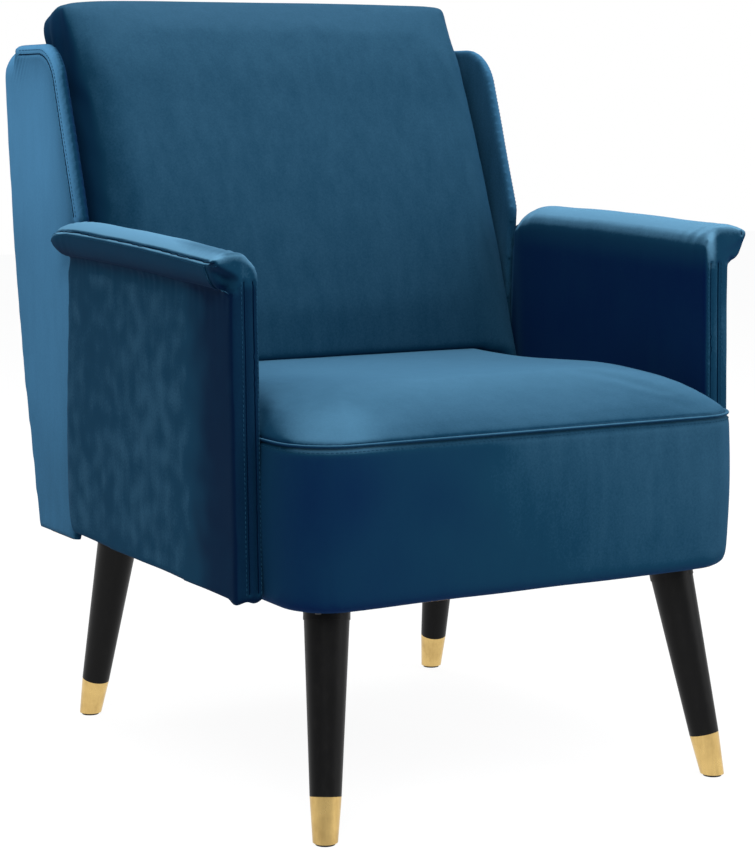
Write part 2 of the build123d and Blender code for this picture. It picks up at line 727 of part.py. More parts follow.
def cushion_form(inset, behind=0.0):
    """Back cushion resting on the domed seat, drawn in by an inset and run on behind its plane."""
    low, top = SEAT_SEAM, CUSHION_TOP - inset
    rear_top = top - CUSHION_TOP_DROP
    thick = CUSHION_THICKNESS - inset
    face = make_face(
        Polyline(
            (inside_plane(low, behind - TOUCH), low),
            (inside_plane(low, -thick), low),
            (inside_plane(top, -thick), top),
            (inside_plane(rear_top, behind - TOUCH), rear_top),
            close=True,
        )
    )
    face = fillet(face.vertices().sort_by(Axis.Y)[-1], CUSHION_ROUND - inset)
    half = CUSHION_HALF - inset
    body = across(face, -half, half)
    chain = []
    for end in (body.faces().sort_by(Axis.X)[0], body.faces().sort_by(Axis.X)[-1]):
        rear_edge = end.edges().sort_by(Axis.Y)[-1]
        chain += [e for e in end.edges() if e != rear_edge and e.center().Z > low + TOUCH]
    return fillet(chain, CUSHION_SIDE_ROUND - inset) - seat_form(-TOUCH - inset)


def back_bolt_places():
    """Where the bolts of the back's lower rail stand, across the chair."""
    reach = (FRAME_HALF - BLOCK_SIZE) * BACK_BOLT_SHARE
    return (-reach, reach)


def back_bolt_holes(radius):
    """Holes for the bolts that hold the back's lower rail to the seat."""
    start = SEAT_REAR - SOFT_REACH
    return [rod((x, start, BOLT_LEVEL), (x, REAR, BOLT_LEVEL), radius) for x in back_bolt_places()]


def build_back():
    """Wings, outside back, inside frame, straps, lining, cushion and the bolts to the seat."""
    play = (BOLT_DIAMETER + BOLT_PLAY) / 2
    joint = BACK_CORNER_DEPTH + TOUCH
    below = BACK_BOTTOM - SOFT_REACH
    strap_near = COVER
    strap_far = strap_near + STRAP_THICKNESS
    bare = behind_inside(-TOUCH, BOARD_INNER, below, BACK_TOP + SOFT_REACH)

    board_face = wing_face(COVER + WING_EDGE_PAD, joint, BACK_BOTTOM)
    board = across(board_face, BOARD_INNER, BOARD_OUTER)
    inner = wing_form(COVER, joint - SOFT_REACH, below)
    floor = block((0, 0, below - SOFT_REACH), (2 * WING_OUTER, 2 * REAR, BACK_BOTTOM))
    behind = across(
        make_face(
            [
                ThreePointArc(*rear_curve(joint, BACK_BOTTOM, BACK_TOP)),
                Polyline(
                    rear_curve(joint)[2],
                    (2 * REAR, BACK_TOP),
                    (2 * REAR, BACK_BOTTOM),
                    rear_curve(joint)[0],
                ),
            ]
        ),
        0,
        2 * WING_OUTER,
    )
    foam = inner - floor - behind - board - bare
    cover = wing_form(0, joint, BACK_BOTTOM) - inner - bare
    for name, side in SIDES.items():
        parts[f"{name}_wing_board"] = mirrored(board, side)
        parts[f"{name}_wing_foam"] = mirrored(only(foam), side)
        parts[f"{name}_wing_cover"] = mirrored(only(cover), side)

    soft = outside_form(COVER, below)
    board_depth = OUTSIDE_BACK - OUTSIDE_BOARD
    flange = BACK_TOP - COVER - TOUCH
    frame_top = BACK_TOP - BACK_TOP_ROUND
    recess_half = BOARD_INNER + TOUCH
    far_front = 3 * BACK_CORNER_DEPTH
    recess = curved_slab(board_depth, far_front, recess_half, below, BACK_TOP + TOUCH)
    ahead = curved_slab(BACK_CORNER_DEPTH, far_front, 2 * WING_OUTER, below, BACK_TOP)
    floor = block((-WING_OUTER, 0, below - SOFT_REACH), (WING_OUTER, 2 * REAR, BACK_BOTTOM))
    parts["outside_back_foam"] = only(soft - floor - ahead - recess)
    parts["outside_back_cover"] = only(outside_form(0, BACK_BOTTOM) - soft - bay(COVER + TOUCH))
    parts["outside_back_board"] = curved_slab(
        board_depth, OUTSIDE_BACK, BOARD_INNER, BACK_BOTTOM, frame_top
    )

    rail_low = frame_top - TOP_RAIL_HEIGHT
    parts["back_top_rail"] = behind_inside(strap_far, BOARD_INNER, rail_low, frame_top) & curved_slab(
        OUTSIDE_BACK + TOUCH, far_front, BOARD_INNER, rail_low, frame_top
    )
    rail_front = SEAT_REAR + TOUCH
    rail_rear = rail_front + BACK_RAIL_THICKNESS
    lower_rail = block((-BOARD_INNER, rail_front, FRAME_LOW), (BOARD_INNER, rail_rear, FRAME_HIGH))
    for hole in back_bolt_holes(play):
        lower_rail -= hole
    parts["back_lower_rail"] = lower_rail

    lining_low = SEAT_TOP + TOUCH
    for name, side in SIDES.items():
        batten = slab(strap_far, strap_far + BATTEN, BOARD_INNER, lining_low, rail_low - TOUCH)
        keep = block((BOARD_INNER - BATTEN, 0, lining_low), (BOARD_INNER, REAR, BACK_TOP))
        parts[f"{name}_back_batten"] = mirrored(batten & keep, side)
    straps = []
    height = STRAP_WIDTH * math.cos(math.radians(INSIDE_RECLINE))
    pitch = (rail_low - lining_low - height) / (BACK_STRAPS - 1)
    for i in range(BACK_STRAPS):
        low = lining_low + i * pitch
        straps.append(slab(strap_near, strap_far, BOARD_INNER, low, low + height))
    parts["back_straps"] = straps
    parts["inside_back_lining"] = slab(0, COVER, BOARD_INNER, lining_low, flange)

    inner = cushion_form(COVER, behind=COVER)
    parts["back_cushion_foam"] = inner - behind_inside(
        -TOUCH, 2 * CUSHION_HALF, BACK_BOTTOM, CUSHION_TOP + SOFT_REACH
    )
    parts["back_cushion_cover"] = cushion_form(0) - inner

    bolts, nuts = [], []
    inside_face = FRAME_REAR - RAIL_THICKNESS
    for x in back_bolt_places():
        head = rod((x, rail_rear, BOLT_LEVEL), (x, rail_rear + BOLT_HEAD_HEIGHT, BOLT_LEVEL), BOLT_HEAD / 2)
        tip = inside_face - BOLT_DIAMETER
        bolts.append(head + rod((x, tip, BOLT_LEVEL), (x, rail_rear, BOLT_LEVEL), BOLT_DIAMETER / 2))
        nut = rod((x, inside_face - NUT_HEIGHT, BOLT_LEVEL), (x, inside_face, BOLT_LEVEL), BOLT_HEAD / 2)
        nuts.append(nut - rod((x, 0, BOLT_LEVEL), (x, REAR, BOLT_LEVEL), BOLT_DIAMETER / 2))
    parts["back_bolts"] = bolts
    parts["back_bolt_nuts"] = nuts


if __name__ == "__main__":
    os.makedirs("parts", exist_ok=True)
    all_legs = [Leg(end, side) for end in ("front", "rear") for side in SIDES.values()]
    build_legs(all_legs)
    build_seat(all_legs)
    build_arms()
    build_back()
    for node, shape in parts.items():
        solids = shape if isinstance(shape, list) else [shape]
        export_step(Compound(children=solids) if len(solids) > 1 else solids[0], f"parts/{node}.step")
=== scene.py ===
"""Blue velvet armchair with splayed black legs: upholstery, finishes and studio."""
import json
import logging
import math
from collections.abc import Callable, Iterable, Iterator, Sequence
from contextlib import contextmanager
from dataclasses import dataclass
from enum import Enum
from typing import Any

import bmesh
import bpy
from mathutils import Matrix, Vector, noise
from mathutils.bvhtree import BVHTree
from mathutils.kdtree import KDTree


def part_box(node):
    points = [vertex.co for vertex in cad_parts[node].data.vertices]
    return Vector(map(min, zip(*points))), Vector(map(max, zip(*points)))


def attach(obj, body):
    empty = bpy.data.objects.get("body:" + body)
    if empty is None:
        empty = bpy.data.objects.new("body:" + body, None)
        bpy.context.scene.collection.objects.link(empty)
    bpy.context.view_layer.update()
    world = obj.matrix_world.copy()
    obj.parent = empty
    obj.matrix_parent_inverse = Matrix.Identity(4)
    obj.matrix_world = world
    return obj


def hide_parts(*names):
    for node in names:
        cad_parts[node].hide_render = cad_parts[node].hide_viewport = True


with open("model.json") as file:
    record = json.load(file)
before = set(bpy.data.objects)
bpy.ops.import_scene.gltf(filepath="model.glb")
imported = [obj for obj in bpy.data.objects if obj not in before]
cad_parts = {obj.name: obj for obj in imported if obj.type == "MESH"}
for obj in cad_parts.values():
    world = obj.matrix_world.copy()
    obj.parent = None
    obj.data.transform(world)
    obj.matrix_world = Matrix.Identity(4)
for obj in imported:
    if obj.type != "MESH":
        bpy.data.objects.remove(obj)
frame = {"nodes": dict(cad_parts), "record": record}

LOG = logging.getLogger("armchair")
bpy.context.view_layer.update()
MM = 0.001
# Point attribute that carries painted light and shade into the velvet's colour.
PAINTED_LIGHT = "stroked"
RAY_START = 0.1
Colour = tuple[float, float, float]
Pair = tuple[float, float]
Triple = tuple[float, float, float]
Piece = bpy.types.Object
Material = bpy.types.Material
Socket = bpy.types.NodeSocket


def rise(value: float, low: float, high: float) -> float:
    """Smooth step from 0 at the low value to 1 at the high one."""
    share = min(max((value - low) / (high - low), 0.0), 1.0)
    return share * share * (3 - 2 * share)


def ramp(length: float, low: float, high: float) -> float:
    """Smooth step of a length between two limits in millimetres."""
    return rise(length, low * MM, high * MM)


def bell(distance: float, width: float) -> float:
    """Soft bump: 1 at no distance, falling away over a width."""
    return math.exp(-((distance / width) ** 2))


def waver(place: Vector, size: float, seed: float = 0.0) -> float:
    """Smooth noise between -1 and 1 with lumps of about a size."""
    return noise.noise(place / size + Vector((seed, seed * 0.7, -seed)))


class Side(Enum):
    """Which side of the chair a piece is on, seen from the front."""

    LEFT = -1
    RIGHT = 1

    @property
    def word(self) -> str:
        """The side's name in node and piece names."""
        return self.name.lower()


class Signal:
    """A shader socket that takes part in Python arithmetic."""

    def __init__(self, graph: "Graph", socket: Socket) -> None:
        """Wraps one output socket.

        Args:
            graph: the graph that the socket is in.
            socket: the output that carries the value.
        """
        self.graph = graph
        self.socket = socket

    def _math(self, operation: str, first: Any, second: Any) -> "Signal":
        """One Math node on two values."""
        return self.graph.node("ShaderNodeMath", {"operation": operation}, {0: first, 1: second})

    def __add__(self, other: Any) -> "Signal":
        """Sum."""
        return self._math("ADD", self, other)

    __radd__ = __add__

    def __sub__(self, other: Any) -> "Signal":
        """Difference."""
        return self._math("SUBTRACT", self, other)

    def __rsub__(self, other: Any) -> "Signal":
        """Difference, the other way round."""
        return self._math("SUBTRACT", other, self)

    def __mul__(self, other: Any) -> "Signal":
        """Product."""
        return self._math("MULTIPLY", self, other)

    __rmul__ = __mul__

    def between(self, low: float, high: float) -> "Signal":
        """Smooth step from 0 at the low value to 1 at the high one."""
        settings = {"interpolation_type": "SMOOTHSTEP"}
        return self.graph.node("ShaderNodeMapRange", settings, {0: self, 1: low, 2: high})


class Graph:
    """Node graph of a material or of the world."""

    def __init__(self, owner: Material | bpy.types.World) -> None:
        """Opens an owner's nodes.

        Args:
            owner: the material or the world.
        """
        owner.use_nodes = True
        self.owner = owner
        self.tree = owner.node_tree

    def node(self, kind: str, settings: dict[str, Any] | None = None,
             inputs: dict[Any, Any] | None = None, output: int | str = 0) -> Signal:
        """Adds a node.

        Args:
            kind: Blender's node type.
            settings: node properties, set first; "stops" fills a colour ramp.
            inputs: values or signals by socket name or number.
            output: the output to hand back.

        Returns:
            The chosen output.
        """
        made = self.tree.nodes.new(kind)
        for key, value in (settings or {}).items():
            if key == "stops":
                self._fill_ramp(made.color_ramp, value)
            else:
                setattr(made, key, value)
        for key, value in (inputs or {}).items():
            self._feed(made.inputs[key], value)
        return Signal(self, made.outputs[output])

    def _fill_ramp(self, ramp: bpy.types.ColorRamp, stops: Sequence[tuple[float, Colour]]) -> None:
        """Writes a colour ramp's stops.

        Args:
            ramp: the ramp to fill.
            stops: each stop's place and colour.
        """
        while len(ramp.elements) < len(stops):
            ramp.elements.new(1.0)
        for element, (place, colour) in zip(ramp.elements, stops):
            element.position = place
            element.color = (*colour, 1.0)

    def _feed(self, socket: Socket, value: Any) -> None:
        """Links a signal to a socket, or sets its value.

        Args:
            socket: the input to feed.
            value: a signal, a number, a vector or a colour.
        """
        if isinstance(value, Signal):
            self.tree.links.new(value.socket, socket)
        elif isinstance(value, tuple) and len(value) == 3 and socket.type == "RGBA":
            socket.default_value = (*value, 1.0)
        else:
            socket.default_value = value

    def feed(self, name: str, inputs: dict[Any, Any]) -> Signal:
        """Feeds a node that the graph has from the start.

        Args:
            name: the node's name.
            inputs: values or signals by socket name or number.

        Returns:
            The node's first output.
        """
        kept = self.tree.nodes[name]
        for key, value in inputs.items():
            self._feed(kept.inputs[key], value)
        return Signal(self, kept.outputs[0])

    def shade(self, **inputs: Any) -> Signal:
        """Feeds the Principled shader.

        Args:
            inputs: values or signals by socket name, with underscores for spaces.

        Returns:
            The shader's output.
        """
        named = {key.replace("_", " "): value for key, value in inputs.items()}
        return self.feed("Principled BSDF", named)

    def close(self, output: str, share: Signal, first: Signal, second: Signal) -> None:
        """Sends a mix of two shaders to the graph's output.

        Args:
            output: the output node's name.
            share: how much of the second shader is in the mix.
            first: the first shader.
            second: the second shader.
        """
        mix = self.node("ShaderNodeMixShader", inputs={0: share, 1: first, 2: second})
        self._feed(self.tree.nodes[output].inputs[0], mix)

    def place(self) -> Signal:
        """Object coordinates, in metres."""
        return self.node("ShaderNodeTexCoord", output="Object")

    def stretched(self, scale: Triple) -> Signal:
        """Object coordinates stretched along each axis."""
        return self.node("ShaderNodeMapping", inputs={"Vector": self.place(), "Scale": scale})

    def grain(self, where: Signal, scale: float, detail: float = 2.0, rough: float = 0.5) -> Signal:
        """Noise of one scale."""
        inputs = {"Vector": where, "Scale": scale, "Detail": detail, "Roughness": rough}
        return self.node("ShaderNodeTexNoise", inputs=inputs, output="Fac")

    def blend(self, share: Any, first: Any, second: Any) -> Signal:
        """Mix of two colours."""
        settings = {"data_type": "RGBA"}
        return self.node("ShaderNodeMix", settings, {0: share, 6: first, 7: second}, output=2)

    def bump(self, height: Signal, strength: float, distance: float) -> Signal:
        """Normal from a height."""
        inputs = {"Strength": strength, "Distance": distance, "Height": height}
        return self.node("ShaderNodeBump", inputs=inputs, output="Normal")


class Finish:
    """A material described by a few named values."""

    name: str

    def sockets(self, graph: Graph) -> dict[str, Any]:
        """What the Principled shader is fed with, by socket name with underscores for spaces."""
        raise NotImplementedError

    def make(self) -> Material:
        """Builds the material.

        Returns:
            The finished material.
        """
        graph = Graph(bpy.data.materials.new(self.name))
        graph.shade(**self.sockets(graph))
        return graph.owner


@dataclass(frozen=True)
class Velvet(Finish):
    """Short-pile velvet, lighter or darker by which way each face points: partly the pile's own tone,
    partly painted light and shade.
    """

    name: str
    # Facing direction and bias: faces turned this way get a lighter colour, partly the pile's own tone and
    # partly painted light.
    nap: Triple
    bias: float = 0.0
    # Faces turned the away direction get painted shade, as strong as loss.
    away: Triple = (-1.0, 0.0, 0.0)
    loss: float = 0.0
    crush: float = 0.08
    turn: float = 0.3
    # Colour ramp: deep for faces in painted shade, light for faces in painted light.
    deep: Colour = (0.0001, 0.0055, 0.04)
    middle: Colour = (0.0036, 0.0305, 0.063)
    light: Colour = (0.055, 0.152, 0.245)
    sheen: float = 0.08
    sheen_tint: tuple[float, float, float, float] = (0.12, 0.5, 1.0, 1.0)
    patch_scale: float = 7.0
    brush_scale: float = 60.0
    brush_run: Triple = (1.0, 1.0, 0.22)
    brush_mark: float = 0.09
    speck_scale: float = 420.0
    speck_mark: float = 0.12
    pile_scale: float = 1500.0
    rough: float = 0.8
    relief: float = 0.16
    pile_height: float = 0.6 * MM

    def facing(self, graph: Graph, way: Triple) -> Signal:
        """How far the surface faces one way.

        Args:
            graph: the material's node graph.
            way: the way, as a vector.

        Returns:
            1 where it faces that way, -1 where it faces the other.
        """
        normal = graph.node("ShaderNodeNewGeometry", output="Normal")
        settings = {"operation": "DOT_PRODUCT"}
        return graph.node("ShaderNodeVectorMath", settings, {0: normal, 1: way}, output="Value")

    def sockets(self, graph: Graph) -> dict[str, Any]:
        """Velvet with crushed patches, brush strokes and a fine pile, with painted light and shade by
        facing and from a point attribute.

        Args:
            graph: the material's node graph.

        Returns:
            Colour, roughness, relief and sheen.
        """
        crush = graph.grain(graph.place(), self.patch_scale, 3.0, 0.55)
        brush = graph.grain(graph.stretched(self.brush_run), self.brush_scale, 3.0, 0.6)
        pile = graph.grain(graph.place(), self.pile_scale, 1.0)
        speck = graph.grain(graph.place(), self.speck_scale, 2.0, 0.7)
        strokes = (brush - 0.5) * self.brush_mark
        marks = (crush - 0.5) * self.crush + strokes + (speck - 0.5) * self.speck_mark
        # Painted shade on faces turned the away direction.
        dark = self.facing(graph, self.away).between(self.turn, 1.0) * self.loss
        stroked = graph.node("ShaderNodeAttribute", {"attribute_name": PAINTED_LIGHT}, output="Fac")
        # Ramp place: facing tone with painted light and shade, crush marks, and the painted light and
        # shade from the point attribute.
        nap_tone_and_light = self.facing(graph, self.nap) * 0.5 + (0.5 + self.bias) + marks - dark + stroked
        stops = ((0.0, self.deep), (0.5, self.middle), (1.0, self.light))
        colour = graph.node("ShaderNodeValToRGB", {"stops": stops}, {"Fac": nap_tone_and_light}, output="Color")
        rough = self.rough + (crush - 0.5) * 0.2 + (speck - 0.5) * 0.1
        height = pile * 0.35 + speck * 0.4 + brush * 0.25
        return dict(
            Base_Color=colour, Roughness=rough, Normal=graph.bump(height, self.relief, self.pile_height),
            Sheen_Weight=self.sheen, Sheen_Roughness=0.45, Sheen_Tint=self.sheen_tint,
            Specular_IOR_Level=0.03,
        )


@dataclass(frozen=True)
class Lacquer(Finish):
    """Satin black lacquer over turned wood."""

    name: str = "black_lacquer"
    colour: Colour = (0.0028, 0.0027, 0.0028)
    worn: Colour = (0.009, 0.0085, 0.0085)

    def sockets(self, graph: Graph) -> dict[str, Any]:
        """Lacquer with faint grain, dust and uneven gloss.

        Args:
            graph: the material's node graph.

        Returns:
            Colour, roughness, relief and gloss.
        """
        grain = graph.grain(graph.stretched((1.0, 1.0, 0.05)), 180.0, 4.0, 0.6)
        dust = graph.grain(graph.place(), 60.0, 4.0, 0.7)
        colour = graph.blend((dust * 0.6 + grain * 0.4).between(0.45, 0.9), self.colour, self.worn)
        rough = 0.27 + dust * 0.16 + grain * 0.08
        return dict(
            Base_Color=colour, Roughness=rough, Normal=graph.bump(grain, 0.08, 0.0004),
            Specular_IOR_Level=0.14,
        )


@dataclass(frozen=True)
class Metal(Finish):
    """Brushed or plated metal."""

    name: str
    colour: Colour
    dull: Colour
    rough: float
    stroke: Triple
    stroke_scale: float = 240.0

    def sockets(self, graph: Graph) -> dict[str, Any]:
        """Metal with fine brush strokes and faint tarnish.

        Args:
            graph: the material's node graph.

        Returns:
            Colour, roughness and relief of the metal.
        """
        stroke = graph.grain(graph.stretched(self.stroke), self.stroke_scale, 4.0, 0.65)
        haze = graph.grain(graph.place(), 40.0, 4.0, 0.6)
        colour = graph.blend((haze * 0.65 + stroke * 0.35).between(0.35, 0.8), self.colour, self.dull)
        rough = self.rough + (stroke - 0.5) * 0.16 + (haze - 0.5) * 0.14
        return dict(
            Base_Color=colour, Metallic=1.0, Roughness=rough, Normal=graph.bump(stroke, 0.12, 0.0002),
        )


@dataclass(frozen=True)
class Timber(Finish):
    """Bare wood or board of the hidden frame."""

    name: str
    pale: Colour
    dark: Colour
    run: Triple = (1.0, 0.08, 1.0)

    def sockets(self, graph: Graph) -> dict[str, Any]:
        """Wood with long grain and pores.

        Args:
            graph: the material's node graph.

        Returns:
            Colour, roughness and relief.
        """
        bands = graph.grain(graph.stretched(self.run), 55.0, 5.0, 0.6)
        pores = graph.grain(graph.stretched(self.run), 700.0, 2.0, 0.6)
        colour = graph.blend((bands * 0.75 + pores * 0.25).between(0.3, 0.75), self.pale, self.dark)
        return dict(
            Base_Color=colour, Roughness=0.55 + pores * 0.2, Normal=graph.bump(pores, 0.15, 0.0004),
        )


@dataclass(frozen=True)
class Plain(Finish):
    """Plain stuff with a fine surface: foam, webbing, plastic or dust cloth."""

    name: str
    colour: Colour
    second: Colour
    scale: float
    rough: float
    relief: float = 0.3
    gloss: float = 0.3

    def sockets(self, graph: Graph) -> dict[str, Any]:
        """A mottled surface with a fine relief.

        Args:
            graph: the material's node graph.

        Returns:
            Colour, roughness, relief and gloss.
        """
        cells = graph.grain(graph.place(), self.scale, 3.0, 0.6)
        cloud = graph.grain(graph.place(), self.scale * 0.06, 3.0, 0.5)
        colour = graph.blend((cells * 0.6 + cloud * 0.4).between(0.35, 0.7), self.colour, self.second)
        return dict(
            Base_Color=colour, Roughness=self.rough + (cells - 0.5) * 0.15,
            Normal=graph.bump(cells, self.relief, 0.0005), Specular_IOR_Level=self.gloss,
        )


class Workshop:
    """Mesh work that the upholstery shares."""

    CLOTH = {
        "quality": 3, "mass": 0.35, "tension_stiffness": 22, "compression_stiffness": 22,
        "shear_stiffness": 8, "bending_stiffness": 2.5, "use_pressure": True,
    }
    CLOTH_STEPS = 12
    GROOVE_PITCH = 1 * MM

    @staticmethod
    @contextmanager
    def shaping(mesh: bpy.types.Mesh) -> Iterator[bmesh.types.BMesh]:
        """A mesh opened for edits, written back when they are done.

        Args:
            mesh: the mesh to edit.

        Returns:
            The open mesh, for a with block.
        """
        shaped = bmesh.new()
        shaped.from_mesh(mesh)
        yield shaped
        shaped.to_mesh(mesh)
        shaped.free()

    @staticmethod
    def link(name: str, mesh: bpy.types.Mesh) -> Piece:
        """Puts a mesh in the scene as an object at the origin.

        Args:
            name: the new object's name.
            mesh: the object's mesh.

        Returns:
            The new object.
        """
        made = bpy.data.objects.new(name, mesh)
        bpy.context.scene.collection.objects.link(made)
        return made

    @staticmethod
    def from_faces(name: str, points: Sequence[Sequence[float]],
                   faces: Sequence[Sequence[int]]) -> Piece:
        """Object from points and faces, smooth and with its normals outward.

        Args:
            name: the new object's name.
            points: where the corners are.
            faces: each face's corners, by number.

        Returns:
            The new object.
        """
        mesh = bpy.data.meshes.new(name)
        mesh.from_pydata([tuple(p) for p in points], [], [tuple(f) for f in faces])
        with Workshop.shaping(mesh) as shaped:
            bmesh.ops.recalc_face_normals(shaped, faces=shaped.faces)
        mesh.shade_smooth()
        return Workshop.link(name, mesh)

    @staticmethod
    def rings(name: str, rings: Sequence[Sequence[Vector]]) -> Piece:
        """Closed skin over a stack of rings of equal length, with a fan at each end.

        Args:
            name: the object's name.
            rings: the rings, from one end to the other.

        Returns:
            The new object.
        """
        count = len(rings[0])
        points = [p for ring in rings for p in ring]
        faces = []
        for row in range(len(rings) - 1):
            here, there = row * count, (row + 1) * count
            for i in range(count):
                j = (i + 1) % count
                faces.append((here + i, here + j, there + j, there + i))
        for ring, start in ((rings[0], 0), (rings[-1], (len(rings) - 1) * count)):
            points.append(sum(ring, Vector()) / count)
            hub = len(points) - 1
            faces.extend((start + i, start + (i + 1) % count, hub) for i in range(count))
        return Workshop.from_faces(name, points, faces)

    @staticmethod
    def joined(name: str, nodes: Iterable[str],
               filler: Piece | None = None) -> Piece:
        """Copy of several frame nodes as one mesh, with a filler used up in it.

        Args:
            name: the new object's name.
            nodes: names of the frame's nodes.
            filler: an object that is used up, or None.

        Returns:
            The new object.
        """
        mesh = bpy.data.meshes.new(name)
        with Workshop.shaping(mesh) as shaped:
            for node in nodes:
                shaped.from_mesh(frame["nodes"][node].data)
            if filler:
                shaped.from_mesh(filler.data)
                bpy.data.objects.remove(filler)
        return Workshop.link(name, mesh)

    @staticmethod
    def remesh(piece: Piece, voxel: float) -> None:
        """Even mesh over a piece's outside, with only its largest shell kept.

        Args:
            piece: the piece to work on.
            voxel: size of the even faces.
        """
        with_voxels = piece.modifiers.new("even", "REMESH")
        with_voxels.mode = "VOXEL"
        with_voxels.voxel_size = voxel
        Workshop.apply(piece)
        with Workshop.shaping(piece.data) as shaped:
            Workshop._keep_largest(shaped)
        piece.data.shade_smooth()

    @staticmethod
    def _keep_largest(shaped: bmesh.types.BMesh) -> None:
        """Deletes all but the shell with the most points.

        Args:
            shaped: the open mesh.
        """
        left = set(shaped.verts)
        shells = []
        while left:
            shell, queue = set(), [next(iter(left))]
            while queue:
                vert = queue.pop()
                if vert in shell:
                    continue
                shell.add(vert)
                queue.extend(e.other_vert(vert) for e in vert.link_edges)
            shells.append(shell)
            left -= shell
        keep = max(shells, key=len)
        bmesh.ops.delete(shaped, geom=[v for v in shaped.verts if v not in keep], context="VERTS")

    @staticmethod
    def apply(piece: Piece) -> None:
        """Writes a piece's modifiers into its mesh.

        Args:
            piece: the piece to work on.
        """
        view = bpy.context.evaluated_depsgraph_get()
        mesh = bpy.data.meshes.new_from_object(piece.evaluated_get(view))
        old = piece.data
        piece.modifiers.clear()
        piece.data = mesh
        mesh.name = piece.name
        bpy.data.meshes.remove(old)
        mesh.shade_smooth()

    @staticmethod
    def smooth(piece: Piece, turns: int, factor: float = 0.5) -> None:
        """Evens out a piece's surface.

        Args:
            piece: the piece to work on.
            turns: how often the surface is evened.
            factor: how strongly each time.
        """
        relax = piece.modifiers.new("relax", "SMOOTH")
        relax.iterations = turns
        relax.factor = factor
        Workshop.apply(piece)

    @staticmethod
    def refine(piece: Piece, kind: str = "CATMULL_CLARK") -> None:
        """Subdivides a piece once, rounding it off or leaving its form as it is.

        Args:
            piece: the piece to work on.
            kind: Blender's kind of subdivision.
        """
        finer = piece.modifiers.new("finer", "SUBSURF")
        finer.subdivision_type = kind
        finer.levels = 1
        finer.render_levels = 1
        Workshop.apply(piece)

    @staticmethod
    def sculpt(piece: Piece, move: Callable[[Vector, Vector], Vector]) -> None:
        """Moves each point by what a function of its place and normal says.

        Args:
            piece: the piece to work on.
            move: gives a point's move from its place and normal.
        """
        mesh = piece.data
        moves = [move(v.co.copy(), v.normal.copy()) for v in mesh.vertices]
        for vert, shift in zip(mesh.vertices, moves):
            vert.co += shift
        mesh.update()

    @staticmethod
    def stroke(piece: Piece, share: Callable[[Vector, Vector], float]) -> None:
        """Paints light and shade into the velvet's colour, lighter or darker by a function of place and
        normal.

        Args:
            piece: the piece to work on.
            share: gives how much lighter a point is from its place and normal.
        """
        mesh = piece.data
        layer = mesh.attributes.new(PAINTED_LIGHT, "FLOAT", "POINT")
        layer.data.foreach_set("value", [share(v.co, v.normal) for v in mesh.vertices])

    @staticmethod
    def inflate(piece: Piece, pressure: float, cap: float,
                held: Callable[[Vector], float]) -> None:
        """Fills a piece with air as cloth, then keeps each point within a cap of where it was.

        Args:
            piece: an evenly meshed closed form.
            pressure: the cloth's inner pressure.
            cap: furthest that a point may move, in metres.
            held: how firmly a point is pinned, from 0 to 1.
        """
        group = piece.vertex_groups.new(name="held")
        for vert in piece.data.vertices:
            group.add([vert.index], held(vert.co), "REPLACE")
        settings = piece.modifiers.new("cloth", "CLOTH").settings
        for key, value in Workshop.CLOTH.items():
            setattr(settings, key, value)
        settings.uniform_pressure_force = pressure
        settings.vertex_group_mass = group.name
        settings.effector_weights.gravity = 0
        before = [v.co.copy() for v in piece.data.vertices]
        scene = bpy.context.scene
        for step in range(1, Workshop.CLOTH_STEPS + 1):
            scene.frame_set(step)
        Workshop.apply(piece)
        scene.frame_set(1)
        for vert, start in zip(piece.data.vertices, before):
            moved = vert.co - start
            if moved.length > cap:
                vert.co = start + moved.normalized() * cap
        piece.vertex_groups.clear()
        piece.data.update()

    @staticmethod
    def clipped(name: str, piece: Piece, low: float | None,
                high: float | None) -> Piece:
        """Copy of a piece between two upright planes across the chair, with flat ends.

        Args:
            name: the new object's name.
            piece: the piece to copy.
            low: where the copy starts across the chair, or None.
            high: where it ends, or None.

        Returns:
            The new object.
        """
        mesh = bpy.data.meshes.new(name)
        limits = [(edge, out) for edge, out in ((low, -1), (high, 1)) if edge is not None]
        with Workshop.shaping(mesh) as shaped:
            shaped.from_mesh(piece.data)
            for edge, out in limits:
                everything = [*shaped.verts, *shaped.edges, *shaped.faces]
                plane = {"plane_co": (edge, 0, 0), "plane_no": (out, 0, 0)}
                cut = bmesh.ops.bisect_plane(shaped, geom=everything, clear_outer=True, **plane)
                rim = [e for e in cut["geom_cut"] if isinstance(e, bmesh.types.BMEdge)]
                bmesh.ops.holes_fill(shaped, edges=rim)
        mesh.shade_smooth()
        return Workshop.link(name, mesh)

    @staticmethod
    def snapped(piece: Piece, line: Iterable[Vector]) -> list[Vector]:
        """Line moved onto a piece's surface."""
        tree = Workshop.tree(piece)
        return [tree.find_nearest(place)[0] for place in line]

    @staticmethod
    def tree(piece: Piece) -> BVHTree:
        """Search tree over a piece's surface.

        Args:
            piece: the piece to work on.

        Returns:
            The tree.
        """
        shaped = bmesh.new()
        shaped.from_mesh(piece.data)
        tree = BVHTree.FromBMesh(shaped)
        shaped.free()
        return tree

    @staticmethod
    def nearby(places: Sequence[Vector]) -> KDTree:
        """Search tree over the points of a line.

        Args:
            places: the line's points.

        Returns:
            The tree.
        """
        near = KDTree(len(places))
        for i, place in enumerate(places):
            near.insert(place, i)
        near.balance()
        return near

    @staticmethod
    def traced(piece: Piece, rays: Iterable[tuple[Vector, Vector]]) -> list[Vector]:
        """Line on a piece's surface, where rays meet it.

        Args:
            piece: the piece to work on.
            rays: each ray's start and way.

        Returns:
            Where the rays met the piece, without those that missed.
        """
        tree = Workshop.tree(piece)
        line = []
        for start, along in rays:
            hit = tree.ray_cast(start, along.normalized())[0]
            if hit is not None:
                line.append(hit)
        return line

